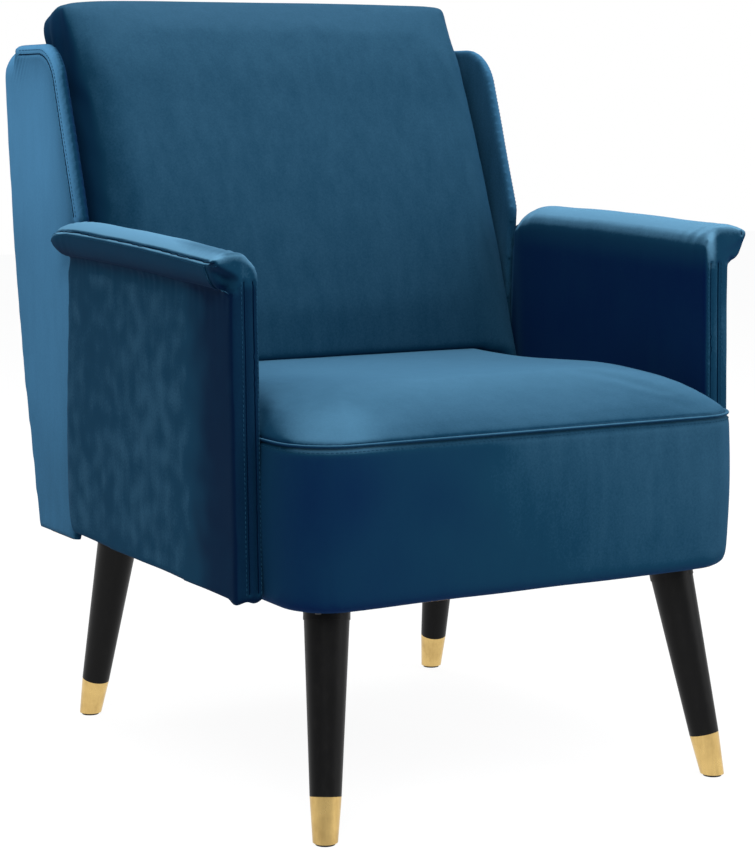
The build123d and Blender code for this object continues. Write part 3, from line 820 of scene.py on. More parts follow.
    @staticmethod
    def even(line: Sequence[Vector], pitch: float) -> list[Vector]:
        """Points along a line at an even pitch.

        Args:
            line: the line's points in order.
            pitch: distance from one point to the next.

        Returns:
            The new points, from the line's start.
        """
        out = [line[0].copy()]
        left = pitch
        for start, end in zip(line, line[1:]):
            span = (end - start).length
            done = 0.0
            while span - done >= left > 0:
                done += left
                out.append(start.lerp(end, done / span))
                left = pitch
            left -= span - done
        return out

    @staticmethod
    def press(piece: Piece, line: Sequence[Vector], depth: float, width: float) -> None:
        """Presses a seam's groove into a piece along a line.

        Args:
            piece: the piece to work on.
            line: the line's points in order.
            depth: depth of the groove.
            width: half width of the groove.
        """
        near = Workshop.nearby(Workshop.even(line, Workshop.GROOVE_PITCH))

        def groove(place: Vector, normal: Vector) -> Vector:
            """Inward move at one point.

            Args:
                place: the point, in metres.
                normal: the surface's direction there.

            Returns:
                The move, nothing away from the seam.
            """
            gap = near.find(place)[2]
            if gap > 3 * width:
                return Vector()
            return normal * (-depth * bell(gap, width))

        Workshop.sculpt(piece, groove)

    @staticmethod
    def frames(line: Sequence[Vector], tree: BVHTree) -> list[tuple[Vector, Vector, Vector]]:
        """Place, direction and surface normal along a line on a surface.

        Args:
            line: the line's points in order.
            tree: the surface's search tree.

        Returns:
            Three vectors for each point of the line.
        """
        out = []
        for i, place in enumerate(line):
            ahead = line[min(i + 1, len(line) - 1)] - line[max(i - 1, 0)]
            found, normal, _, _ = tree.find_nearest(place)
            out.append((found, ahead.normalized(), normal))
        return out

    @staticmethod
    def stitches(name: str, piece: Piece, line: Sequence[Vector], pitch: float = 4.8 * MM,
                 length: float = 3.4 * MM, thick: float = 0.9 * MM) -> Piece:
        """Row of thread stitches that lie on a surface.

        Args:
            name: the new object's name.
            piece: what the row is sewn into.
            line: where the row runs.
            pitch: from one stitch to the next.
            length: length of the thread that shows.
            thick: width of the thread.

        Returns:
            One object with every stitch of the row.
        """
        points, faces = [], []
        around, flat = 6, 0.75
        sunk, proud = 0.1, 0.55
        profile = ((-0.5, 0.15), (-0.32, 0.8), (0.0, 1.0), (0.32, 0.8), (0.5, 0.15))
        for place, along, normal in Workshop.frames(Workshop.even(line, pitch), Workshop.tree(piece)):
            across = along.cross(normal).normalized()
            base = len(points)
            for share, swell in profile:
                centre = place + along * (share * length) + normal * (thick * (proud * swell - sunk))
                for k in range(around):
                    turn = 2 * math.pi * k / around
                    spoke = across * math.cos(turn) + normal * (flat * math.sin(turn))
                    points.append(centre + spoke * (0.5 * thick * swell))
            for row in range(len(profile) - 1):
                for k in range(around):
                    a, b = base + row * around + k, base + row * around + (k + 1) % around
                    faces.append((a, b, b + around, a + around))
            faces.append(tuple(base + k for k in range(around)))
            faces.append(tuple(base + (len(profile) - 1) * around + k for k in range(around)))
        return Workshop.from_faces(name, points, faces)

    @staticmethod
    def piping(name: str, line: Sequence[Vector], radius: float) -> Piece:
        """Thin cord along a line; the seams use it, dark, as painted shadow in their grooves.

        Args:
            name: the new object's name.
            line: the line's points in order.
            radius: half the cord's thickness.

        Returns:
            The new object.
        """
        curve = bpy.data.curves.new(name, "CURVE")
        curve.dimensions = "3D"
        curve.bevel_depth = radius
        curve.bevel_resolution = 3
        spline = curve.splines.new("POLY")
        spline.points.add(len(line) - 1)
        for point, place in zip(spline.points, line):
            point.co = (*place, 1.0)
        temporary = bpy.data.objects.new(name, curve)
        mesh = bpy.data.meshes.new_from_object(temporary)
        bpy.data.objects.remove(temporary)
        bpy.data.curves.remove(curve)
        mesh.shade_smooth()
        return Workshop.link(name, mesh)


class Finishes:
    """Every material of the chair."""

    LEFT = (-1.0, 0.0, 0.0)
    FRONT = (0.0, -1.0, 0.0)
    # Light ramp stops: the first paints the highlight on the arm tops, the second on the wings and outside
    # back; SHADE is a painted shade stop for the left arm.
    WORN = (0.1, 0.245, 0.375)
    BRIGHT = (0.074, 0.232, 0.41)
    SHADE = (0.0003, 0.006, 0.024)

    def __init__(self) -> None:
        """Builds the velvets, the thread and the painted seam shadow."""
        left, front, worn, bright = self.LEFT, self.FRONT, self.WORN, self.BRIGHT
        # Each piece gets its own copy of the velvet, whose facing direction, bias, away and loss set
        # painted light and shade for where it stands.
        self.velvet_seat = Velvet("velvet_seat", nap=(0.1, -0.03, 0.9), away=left, loss=0.12).make()
        self.velvet_back = Velvet(
            "velvet_back", nap=(0.1, -0.05, 0.35), away=left, loss=0.2, crush=0.05, turn=0.7,
        ).make()
        left_arm = Velvet(
            "velvet_arm_left", nap=(0.16, 0.1, 1.05), bias=0.04, crush=0.12, deep=self.SHADE, light=worn,
        )
        right_arm = Velvet(
            "velvet_arm_right", nap=(0.1, 0.12, 1.15), bias=0.04, away=left, loss=0.4, crush=0.16,
            turn=0.5, light=worn,
        )
        left_wing = Velvet(
            "velvet_wing_left", nap=(-0.75, 0.18, 0.4), bias=-0.045, away=front, loss=0.08, crush=0.14,
            light=bright,
        )
        right_wing = Velvet("velvet_wing_right", nap=(0.05, 0.1, 0.4), bias=0.1, light=bright)
        outside = Velvet("velvet_outside", nap=(0.0, 0.13, 0.4), bias=0.02, light=bright)
        self.velvet_arm = {Side.LEFT: left_arm.make(), Side.RIGHT: right_arm.make()}
        self.velvet_wing = {Side.LEFT: left_wing.make(), Side.RIGHT: right_wing.make()}
        self.velvet_outside = outside.make()
        self.thread = Plain(
            "thread", (0.006, 0.035, 0.075), (0.013, 0.06, 0.11), scale=900.0, rough=0.8, gloss=0.03,
        ).make()
        # Dark cord colour laid in the seam grooves: painted shadow in the seams.
        self.seam = Plain(
            "seam_shadow", (0.0004, 0.004, 0.016), (0.0008, 0.006, 0.022), scale=900.0, rough=0.9,
            gloss=0.0,
        ).make()

    def dress_frame(self) -> None:
        """Gives every frame node that shows or lies inside its own finish."""
        even = (1.0, 1.0, 1.0)
        timber = Timber("beech", (0.62, 0.42, 0.24), (0.44, 0.27, 0.14)).make()
        board = Timber("hardboard", (0.24, 0.13, 0.07), (0.17, 0.09, 0.045), run=even).make()
        foam = Plain("foam", (0.82, 0.74, 0.5), (0.74, 0.64, 0.4), scale=900.0, rough=0.95).make()
        webbing = Plain(
            "webbing", (0.045, 0.04, 0.035), (0.09, 0.08, 0.07), scale=700.0, rough=0.85,
        ).make()
        cloth = Plain(
            "dust_cloth", (0.012, 0.012, 0.013), (0.022, 0.022, 0.024), scale=1200.0, rough=0.9,
        ).make()
        plastic = Plain(
            "glide", (0.01, 0.01, 0.011), (0.02, 0.02, 0.02), scale=500.0, rough=0.55, relief=0.15,
        ).make()
        steel = Metal(
            "dark_steel", (0.07, 0.07, 0.07), (0.04, 0.04, 0.04), rough=0.5, stroke=even,
            stroke_scale=120.0,
        ).make()
        brass = Metal(
            "brushed_brass", (0.72, 0.5, 0.19), (0.5, 0.33, 0.12), rough=0.3, stroke=(1.0, 1.0, 0.06),
        ).make()
        lacquer = Lacquer().make()
        slots = {
            "velvet": self.velvet_back, "foam": foam, "webbing": webbing, "dust_cloth": cloth,
            "frame_wood": timber, "hardboard": board, "leg_black": lacquer, "ferrule_brass": brass,
            "glide_plastic": plastic, "steel": steel,
        }
        for part in frame["record"]["subparts"]:
            node = frame["nodes"][part["node"]]
            node.data.materials.clear()
            node.data.materials.append(slots[part["material_slot"]])


def finish_piece(piece: Piece, material: Material) -> None:
    """Gives a piece its material, body and slot, and reports it.

    Args:
        piece: the new piece.
        material: its finish.
    """
    piece.data.materials.clear()
    piece.data.materials.append(material)
    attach(piece, "root")
    LOG.info("%s: %d points", piece.name, len(piece.data.vertices))


@dataclass
class Seat:
    """Domed seat block with a sewn edge."""

    finishes: Finishes
    seam: float = 398 * MM
    front_radius: float = 60 * MM
    rear_radius: float = 18 * MM
    lower_round: float = 13 * MM
    side_swell: float = 2.5 * MM
    dome_reach: float = 165 * MM
    dome_side_share: float = 0.4
    dome_power: float = 2.6
    sag: float = 13 * MM
    slack: float = 0.8 * MM
    fill_cap: float = 4 * MM
    fill_pressure: float = 2.5
    groove: Pair = (3 * MM, 3.6 * MM)
    stitch_drop: float = 5.5 * MM
    welt_radius: float = 1.4 * MM
    welt_inset: float = 1.1 * MM
    welt_root: float = 9 * MM
    # Painted light and shade, written into the point attribute: lighter at the front's right, painted
    # shade at the front's left and on the top's front slope, and a painted contact shadow on the top's
    # left end.
    right_gain: float = 0.07
    left_shade: float = 0.33
    slope_shade: float = 0.28
    slope_gain: float = 0.1
    worn_shade: float = 0.17
    ragged: float = 50 * MM
    voxel: float = 7 * MM

    def __post_init__(self) -> None:
        """Takes the block's place from the frame."""
        self.low, self.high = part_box("seat_cover")

    def outline(self, inset: float, step: float = 0.0, count: int = 240) -> list[Vector]:
        """Plan outline with round corners, drawn in by an inset and by a step for the dome.

        Args:
            inset: how far in the outline is drawn.
            step: how far up the dome it is drawn in.
            count: how many points it has.

        Returns:
            The outline's points, at no height.
        """
        half = self.high.x - inset - step * self.dome_side_share
        front = self.low.y + inset + step
        rear = self.high.y - inset - step * self.dome_side_share
        front_radius = max(self.front_radius - inset, 3 * MM)
        rear_radius = max(self.rear_radius - inset + 0.3 * step, 3 * MM)
        corners = (
            (half - front_radius, front + front_radius, front_radius, -math.pi / 2),
            (half - rear_radius, rear - rear_radius, rear_radius, 0.0),
            (rear_radius - half, rear - rear_radius, rear_radius, math.pi / 2),
            (front_radius - half, front + front_radius, front_radius, math.pi),
        )
        line = []
        for x, y, radius, turn in corners:
            for i in range(17):
                angle = turn + math.pi / 2 * i / 16
                line.append(Vector((x + radius * math.cos(angle), y + radius * math.sin(angle), 0)))
        line.append(line[0].copy())
        length = sum((b - a).length for a, b in zip(line, line[1:]))
        return Workshop.even(line, length / (count + 1e-6))[:count]

    def level(self, inset: float, height: float, step: float = 0.0) -> list[Vector]:
        """The outline at a height."""
        return [Vector((p.x, p.y, height)) for p in self.outline(inset, step)]

    def block(self) -> Piece:
        """Closed form of the seat.

        Returns:
            The new object.
        """
        rings = [self.level(60 * MM, self.low.z), self.level(self.lower_round, self.low.z)]
        for i in range(1, 6):
            angle = math.pi / 2 * i / 5
            inset = self.lower_round * (1 - math.sin(angle))
            rings.append(self.level(inset, self.low.z + self.lower_round * (1 - math.cos(angle))))
        base = self.low.z + self.lower_round
        for i in range(1, 14):
            share = i / 13
            swell = self.side_swell * math.sin(math.pi * share)
            rings.append(self.level(-swell, base + share * (self.seam - base)))
        crown = self.high.z - self.seam
        for i in range(1, 25):
            share = (i / 24) ** 1.6
            height = self.seam + crown * (1 - (1 - share) ** self.dome_power)
            rings.append(self.level(0, height, share * self.dome_reach))
        return Workshop.rings("seat_upholstery", rings)

    def pinned(self, place: Vector) -> float:
        """Holds the underside and the sewn edge while the seat fills.

        Args:
            place: the point, in metres.

        Returns:
            1 where the point is held, otherwise 0.
        """
        if place.z < self.low.z + self.lower_round:
            return 1.0
        return 1.0 if abs(place.z - self.seam) < 5 * MM else 0.0

    def settled(self, place: Vector, normal: Vector) -> Vector:
        """Move of one point: slack, and the top pressed down towards the cushion.

        Args:
            place: the point, in metres.
            normal: the surface's direction there.

        Returns:
            The move.
        """
        above = ramp(place.z - self.seam, 0, 25)
        sunk = self.sag * rise(place.y, self.low.y, 60 * MM) * above
        return normal * (self.slack * waver(place, 90 * MM)) - Vector((0, 0, sunk))

    def stroked(self, place: Vector, normal: Vector) -> float:
        """Painted light and shade: lighter at the front's right, darker at its left and where the top
        slopes down, with a painted contact shadow on the top's left end beside the arm.

        Args:
            place: the point, in metres.
            normal: the surface's direction there.

        Returns:
            How much lighter the painted light makes the velvet.
        """
        front = max(-normal.y, 0.0) * (1 - rise(normal.z, 0.1, 0.4))
        above = rise(normal.z, 0.3, 0.6)
        ragged = place.x + self.ragged * waver(place, 60 * MM, 11.0)
        shade_height = 0.6 + 0.4 * rise(place.z, 0.26, 0.36)
        shade = self.left_shade * (1 - rise(ragged, -0.27, 0.0)) * shade_height
        gain = self.right_gain * rise(place.x, -0.1, 0.25)
        down = self.slope_shade * rise(ragged, -0.25, -0.1) - self.slope_gain * rise(place.x, 0.14, 0.24)
        slope = rise(-normal.y, 0.12, 0.5) * down
        # Painted contact shadow on the top's left end, beside the left arm.
        worn = self.worn_shade * (1 - rise(place.x, -0.24, -0.06)) * (1 - rise(-normal.y, 0.12, 0.4))
        return front * (gain - shade) - above * (slope + worn)

    def welt(self) -> Piece:
        """Piped edge: a thin cord with a flange that runs into the seam.

        Returns:
            The new object.
        """
        count, sides, half_turn = 480, 9, 140
        radius = self.welt_radius
        points, faces = [], []
        rims = self.outline(self.welt_inset, count=count)
        roots = self.outline(self.welt_root, count=count)
        for rim, root in zip(rims, roots):
            out = (rim - root).normalized()
            for j in range(sides):
                turn = math.radians(-half_turn + 2 * half_turn * j / (sides - 1))
                place = rim + out * (radius * math.cos(turn))
                points.append((place.x, place.y, self.seam + radius * math.sin(turn)))
            points.append((root.x, root.y, self.seam))
        ring = sides + 1
        for i in range(count):
            here, there = i * ring, (i + 1) % count * ring
            for j in range(ring):
                k = (j + 1) % ring
                faces.append((here + j, there + j, there + k, here + k))
        return Workshop.from_faces("seat_welt", points, faces)

    def build(self) -> None:
        """Makes the seat, its seam and its stitching."""
        seat = self.block()
        Workshop.remesh(seat, self.voxel)
        Workshop.inflate(seat, self.fill_pressure, self.fill_cap, self.pinned)
        Workshop.smooth(seat, 3)
        Workshop.refine(seat)
        Workshop.sculpt(seat, self.settled)
        line = self.level(0, self.seam)
        line.append(line[0].copy())
        Workshop.press(seat, Workshop.snapped(seat, line), *self.groove)
        cord = self.welt()
        row = [p - Vector((0, 0, self.stitch_drop)) for p in line]
        thread = Workshop.stitches("seat_topstitch", seat, row)
        Workshop.stroke(seat, self.stroked)
        finish_piece(seat, self.finishes.velvet_seat)
        finish_piece(cord, self.finishes.velvet_seat)
        finish_piece(thread, self.finishes.thread)
        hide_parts("seat_cover", "seat_foam", "seat_border_foam")


@dataclass
class BackCushion:
    """Thick cushion between the wings."""

    finishes: Finishes
    voxel: float = 7 * MM
    half: float = 264 * MM
    top: float = 846 * MM
    waist: float = 640 * MM
    foot_spread: float = 1 * MM
    drift: Pair = (8 * MM, 3 * MM)
    belly: float = 0.1
    thin_top: float = 0.16
    lift: Pair = (7 * MM, 12 * MM)
    sink: float = 13 * MM
    between_arms: float = 273 * MM
    between_wings: float = 279.5 * MM
    bulge: float = 3 * MM
    ear: Pair = (3 * MM, 1.5 * MM)
    gather: float = 1.4 * MM
    gather_pitch: float = 5.5 * MM
    slack: float = 0.5 * MM
    fill_cap: float = 9 * MM
    fill_pressure: float = 3.0

    def lean(self) -> tuple[Vector, Vector]:
        """Foot of the lining that the cushion leans on, and the way that the lining faces.

        Returns:
            The foot's place and a vector of length 1.
        """
        low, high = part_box("inside_back_lining")
        along = Vector((0, high.y - low.y, high.z - low.z)).normalized()
        return Vector((0, low.y, low.z)), Vector((0, -along.z, along.y))

    def depth(self, place: Vector) -> float:
        """Distance in front of the lining."""
        foot, facing = self.lean_on
        return (place - foot).dot(facing)

    def __post_init__(self) -> None:
        """Takes the lining's place from the frame."""
        self.lean_on = self.lean()

    def soften(self, place: Vector, normal: Vector) -> Vector:
        """Move of one point: drift, belly, thin top, spread foot, ears and gathered sides.

        Args:
            place: the point, in metres.
            normal: the surface's direction there.

        Returns:
            The move.
        """
        out = math.copysign(1.0, place.x)
        deep = self.depth(place)
        high = rise(place.z, self.top - 0.12, self.top - 0.005)
        edge = rise(abs(place.x), 0.5 * self.half, self.half)
        belly = bell(place.z - self.waist, 0.13)
        low, up = self.drift
        near, far = self.lift
        corner = Vector((out * self.half, 0, self.top)) - Vector((place.x, 0, place.z))
        lift = near + (far - near) * (0.5 + 0.5 * place.x / self.half)
        if out < 0:
            lift *= 1 - 0.4 * bell(corner.length, 45 * MM)
        spread = edge * (self.foot_spread * (1 - rise(place.z, 0.44, 0.66)) + self.bulge * belly)
        wider = self.between_wings - self.between_arms
        room = self.between_arms + wider * rise(place.z, 0.56, 0.64)
        across = min(max(place.x + low + (up - low) * high + out * spread, -room), room)
        sunk = self.sink * (1 - rise(place.z, 0.45, 0.56))
        shift = Vector((across - place.x, 0, lift * high - sunk))
        shift += self.lean_on[1] * (deep * (self.belly * belly - self.thin_top * high ** 2))
        ear = bell(corner.length, 16 * MM) * ramp(deep, 30, 80)
        shift += Vector((out * self.ear[0], 0, self.ear[1])) * ear
        flank = ramp(abs(place.x) - self.half, -22, -4) * rise(place.z, 0.66, 0.82)
        fold = math.sin(deep / self.gather_pitch + 5 * waver(place, 60 * MM, 3.0))
        slack = self.slack * waver(place, 140 * MM, 9.0)
        return shift + normal * (flank * self.gather * fold + slack)

    def pinned(self, place: Vector) -> float:
        """Holds the cushion's back and foot while it fills."""
        return 1.0 if self.depth(place) < 8 * MM or place.z < 0.452 else 0.0

    def build(self) -> None:
        """Makes the cushion and its corner gathers."""
        nodes = ("back_cushion_cover", "back_cushion_foam")
        cushion = Workshop.joined("back_cushion_upholstery", nodes)
        Workshop.remesh(cushion, self.voxel)
        Workshop.inflate(cushion, self.fill_pressure, self.fill_cap, self.pinned)
        Workshop.smooth(cushion, 10)
        Workshop.refine(cushion)
        Workshop.sculpt(cushion, self.soften)
        finish_piece(cushion, self.finishes.velvet_back)
        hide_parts("back_cushion_cover", "back_cushion_foam")


@dataclass
class Arm:
    """Upholstered arm with a rolled top and a lip outside."""

    finishes: Finishes
    side: Side
    settle: Pair
    fold: float
    rear_fall: float
    flare: float
    # front_loss and inner_gain set painted shade on the front and a painted highlight on the inner top.
    front_loss: float
    inner_gain: float
    tail_squeeze: float = 0.4
    tail_fall: float = 24 * MM
    bow: float = 2.5 * MM
    voxel: float = 3 * MM
    top: float = 600 * MM
    rear: float = 128 * MM
    front: float = -277.5 * MM
    length: float = 405.5 * MM
    drop: float = 12 * MM
    edge_fall: float = 11 * MM
    lip_height: float = 29 * MM
    lip_edge: float = 324 * MM
    lip_reach: float = 22 * MM
    inner: float = 275 * MM
    outer: float = 307 * MM
    wing_outer: float = 297 * MM
    front_lean: float = 8 / 355
    rear_lean: float = 26 / 355
    bottom: float = 240 * MM
    band: Pair = (282 * MM, 291.5 * MM)
    lumps: Pair = (283 * MM, 303 * MM)
    lump_depth: float = 4.5 * MM
    gather_depth: float = 1.1 * MM
    pucker_depth: float = 0.8 * MM
    slack: float = 0.9 * MM
    seam_groove: Pair = (1.5 * MM, 1.9 * MM)
    under_groove: Pair = (1.6 * MM, 2.6 * MM)
    seam_radius: float = 0.55 * MM
    seam_steps: int = 80
    # Painted light and shade, written into the point attribute; side_mottle is the velvet's own random
    # tone.
    side_gain: float = 0.06
    side_loss: float = 1.5
    side_mottle: float = 0.05
    edge_gain: float = 0.32
    edge_loss: float = 0.9
    under_shade: float = 0.16
    nook_shade: float = 0.45

    def crown(self, y: float) -> float:
        """Height of the arm's top at a depth."""
        return self.top - (self.rear - y) * self.drop / self.length

    def front_at(self, z: float) -> float:
        """Depth of the arm's front end at a height."""
        return self.front + (z - self.bottom) * self.front_lean

    def rear_at(self, z: float) -> float:
        """Depth of the arm's rear end at a height."""
        return self.rear - (self.top - z) * self.rear_lean

    def lip_low(self, y: float) -> float:
        """Height of the lip's underside at a depth."""
        return self.crown(y) - self.edge_fall - self.lip_height

    def settled(self, y: float) -> float:
        """How far the padded top lies above the plain form at a depth.

        Args:
            y: distance to the rear.

        Returns:
            The height, below nothing where the top has sunk.
        """
        share = min(max((self.rear - y) / self.length, 0.0), 1.0)
        low, high = self.settle
        return high + (low - high) * share + self.bow * math.sin(math.pi * share)

    def ends(self, u: float, y: float, z: float) -> Vector:
        """Rounded rear end: slim inside, falling on top, with the lip's tail drawn to a half round.

        Args:
            u: distance out from the chair's middle.
            y: distance to the rear.
            z: height.

        Returns:
            The move.
        """
        out = self.side.value
        behind = rise(y - self.rear_at(z), -42 * MM, 0)
        inside = 1 - rise(u, self.inner, self.outer)
        high = ramp(z - self.top, -45, -10)
        low = 1 - ramp(z - self.top, -60, -40)
        shift = Vector((out * 5 * MM * inside * behind ** 2, 0, 0))
        shift.y = 4.5 * MM * low * behind ** 2 * ramp(u - self.inner, 4, 10)
        past = min(max((y - self.rear) / (1.25 * self.lip_reach), 0.0), 0.97)
        tail = ramp(u - self.wing_outer, -1, 3)
        fall = self.rear_fall * high * rise(y, self.rear - 80 * MM, self.rear + self.lip_reach) ** 2
        shift.z = tail * max(fall - self.tail_fall, 0.0) - fall
        middle = self.crown(y) - self.edge_fall - 0.5 * self.lip_height
        squeeze = 1.0 if z > middle else self.tail_squeeze
        shift.z += tail * squeeze * (1 - math.sqrt(1 - past * past)) * (middle - z)
        shift.x -= out * tail * 5 * MM * past * past
        return shift

    def corner(self, u: float, ahead: float, z: float, crown: float) -> Vector:
        """Folded front end of the lip, with a pocket under the fold and a pulled-out tip.

        Args:
            u: distance out from the chair's middle.
            ahead: distance behind the arm's front end.
            z: height.
            crown: height of the arm's top there.

        Returns:
            The move.
        """
        out = self.side.value
        lip_low = crown - self.edge_fall - self.lip_height
        slope = crown - self.edge_fall - 1 * MM - 0.5 * (self.lip_edge - u)
        lip = rise(u, self.wing_outer, self.outer)
        pocket = lip * (1 - ramp(ahead, 10, 26)) * ramp(z - lip_low, -2, 3)
        pocket *= 1 - ramp(z - slope, -6, 0)
        shift = Vector((-3 * MM * out, 14 * MM, 0)) * (pocket * self.fold)
        tip = Vector((u - self.lip_edge, ahead - 4 * MM, z - (crown - self.edge_fall)))
        shift += Vector((3.5 * MM * out, -1.5 * MM, 2.5 * MM)) * bell(tip.length, 9 * MM)
        end = lip * bell(ahead, 18 * MM) * ramp(z - lip_low, 0, 8)
        shift.x += out * self.flare * end
        return shift

    def soften(self, place: Vector, normal: Vector) -> Vector:
        """Move of one point: settled top, folded ends, gathers and slack.

        Args:
            place: the point, in metres.
            normal: the surface's direction there.

        Returns:
            The move.
        """
        out = self.side.value
        u, y, z = out * place.x, place.y, place.z
        crown = self.crown(y)
        lip_low = self.lip_low(y)
        ahead = y - self.front_at(z)
        shift = Vector((0, 0, self.settled(y) * rise(z, 0.48, 0.585)))
        if shift.z > 0:
            held = ramp(u - self.outer, -8, -2) * ramp(ahead, 15, 60)
            shift.z *= 1 - held * (1 - ramp(z - lip_low, 2, 18))
        shift += self.ends(u, y, z) + self.corner(u, ahead, z, crown)
        panel = ramp(u - self.outer, -6, -1)
        panel *= 1 - ramp(z - lip_low, -3, 0)
        below = max(lip_low - z, 0.0)
        gather = waver(Vector((0, y, 0.15 * z)), 9 * MM, 5.0)
        shift += normal * (panel * self.gather_depth * gather * math.exp(-below / (20 * MM)))
        for across in self.lumps:
            lump = Vector((u - across, ahead - 9 * MM, z - self.bottom))
            shift += Vector((0, 0, -self.lump_depth)) * bell(lump.length, 7 * MM)
        for near in (ahead - 14 * MM, y - self.rear + 18 * MM):
            corner = Vector((u - self.inner - 14 * MM, near, z - crown + 8 * MM))
            pucker = bell(corner.length, 26 * MM) * math.sin((1.2 * near + u) / (3.4 * MM))
            shift += normal * (self.pucker_depth * pucker)
        shift += normal * (self.slack * waver(place, 75 * MM, 2.0 + out))
        return shift

    def stroked(self, place: Vector, normal: Vector) -> float:
        """Painted shade on the front band, beside it, under the lip and in the pocket under the fold;
        painted highlight on the rolled edges, the inner top and the outer face, with the velvet's own
        random tone there.

        Args:
            place: the point, in metres.
            normal: the surface's direction there.

        Returns:
            How much lighter the painted light makes the velvet.
        """
        out = self.side.value
        u, y, z = out * place.x, place.y, place.z
        crown, lip_low = self.crown(y), self.lip_low(y)
        ahead = y - self.front_at(z)
        front = rise(-normal.y, 0.4, 0.9) * (1 - ramp(z - lip_low, -4, 8))
        under = ramp(u - self.outer, -4, 0) * bell(z - lip_low + 4 * MM, 9 * MM)
        nook = self.fold * (1 - ramp(ahead, 20, 32)) * bell(z - lip_low + 2 * MM, 12 * MM)
        nook *= rise(u, self.wing_outer, self.outer - 3 * MM) * rise(normal.z, 0.1, 0.6)
        side = rise(out * normal.x, 0.5, 0.9) * (1 - ramp(z - lip_low, -6, 2))
        ragged = ahead + 16 * MM * waver(place, 30 * MM, 7.0)
        beside = self.side_loss * self.front_loss * (1 - ramp(ragged, 40, 115))
        outside = side * (self.side_gain - beside)
        outside += side * self.side_mottle * waver(place, 22 * MM, 13.0)
        inside = self.inner_gain * ramp(z - crown, -50, -16)
        inside *= 1 - ramp(u - self.inner, 6, 16)
        # Painted highlight on the rolled lip edge, with painted shade on the top towards the front.
        edge = self.edge_gain * rise(normal.z, 0.3, 0.7) * rise(u, self.outer, self.lip_edge - 4 * MM)
        light_falloff = rise(normal.z, 0.5, 0.9) * (1 - ramp(ahead, 60, 150))
        edge -= self.edge_loss * self.front_loss * light_falloff
        # Painted shade on the front band, under the lip and in the pocket under the fold.
        dark = self.front_loss * front + self.under_shade * under + self.nook_shade * nook
        return outside + inside + edge - dark

    def lip_seam(self, arm: Piece) -> list[Vector]:
        """Line of the seam along the lip's upper edge.

        Args:
            arm: the arm's object.

        Returns:
            The seam's points on the arm.
        """
        edge = []
        for i in range(self.seam_steps + 1):
            y = self.front + 8 * MM + (self.length + 10 * MM) * i / self.seam_steps
            z = self.crown(y) - self.edge_fall + self.settled(y)
            edge.append(Vector((self.side.value * self.lip_edge, y, z)))
        return Workshop.snapped(arm, edge)

    def band_seam(self, arm: Piece, across: float) -> list[Vector]:
        """Line of one upright seam of the front band.

        Args:
            arm: the arm's object.
            across: the seam's distance out from the chair's middle.

        Returns:
            The seam's points on the arm.
        """
        rays = []
        span = self.crown(self.front) - 40 * MM - self.bottom
        for i in range(self.seam_steps + 1):
            z = self.bottom + 6 * MM + span * i / self.seam_steps
            rays.append((Vector((self.side.value * across, self.front - RAY_START, z)), Vector((0, 1, 0))))
        return Workshop.traced(arm, rays)

    def sew(self, arm: Piece) -> None:
        """Presses the seams, with a dark cord of painted shadow in each, and lays their stitches.

        Args:
            arm: the arm's object.
        """
        word = self.side.word
        outward = Vector((self.side.value, 0, 0))
        inner, outer = (self.band_seam(arm, across) for across in self.band)
        lip = self.lip_seam(arm)
        seams = {
            "lip": (lip, Vector((0, 0, -4.5 * MM))),
            "inner_band": (inner, outward * -4 * MM),
            "outer_band": (outer, outward * 4 * MM),
        }
        under = [p - outward * 14 * MM - Vector((0, 0, self.lip_height)) for p in lip]
        Workshop.press(arm, Workshop.snapped(arm, under), *self.under_groove)
        for name, (line, aside) in seams.items():
            Workshop.press(arm, line, *self.seam_groove)
            sewn = Workshop.snapped(arm, line)
            # Dark cord in the groove: painted seam shadow.
            cord = Workshop.piping(f"{word}_arm_{name}_seam", sewn, self.seam_radius)
            thread = Workshop.stitches(f"{word}_arm_{name}_stitches", arm, [p + aside for p in line])
            finish_piece(cord, self.finishes.seam)
            finish_piece(thread, self.finishes.thread)

    def build(self) -> None:
        """Makes the arm and its seams."""
        word = self.side.word
        nodes = [f"{word}_arm_{layer}" for layer in ("cover", "foam", "board", "top_rail")]
        arm = Workshop.joined(f"{word}_arm_upholstery", nodes)
        Workshop.remesh(arm, self.voxel)
        Workshop.smooth(arm, 2)
        Workshop.sculpt(arm, self.soften)
        Workshop.refine(arm)
        self.sew(arm)
        Workshop.stroke(arm, self.stroked)
        finish_piece(arm, self.finishes.velvet_arm[self.side])
        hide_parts(nodes[0], nodes[1])


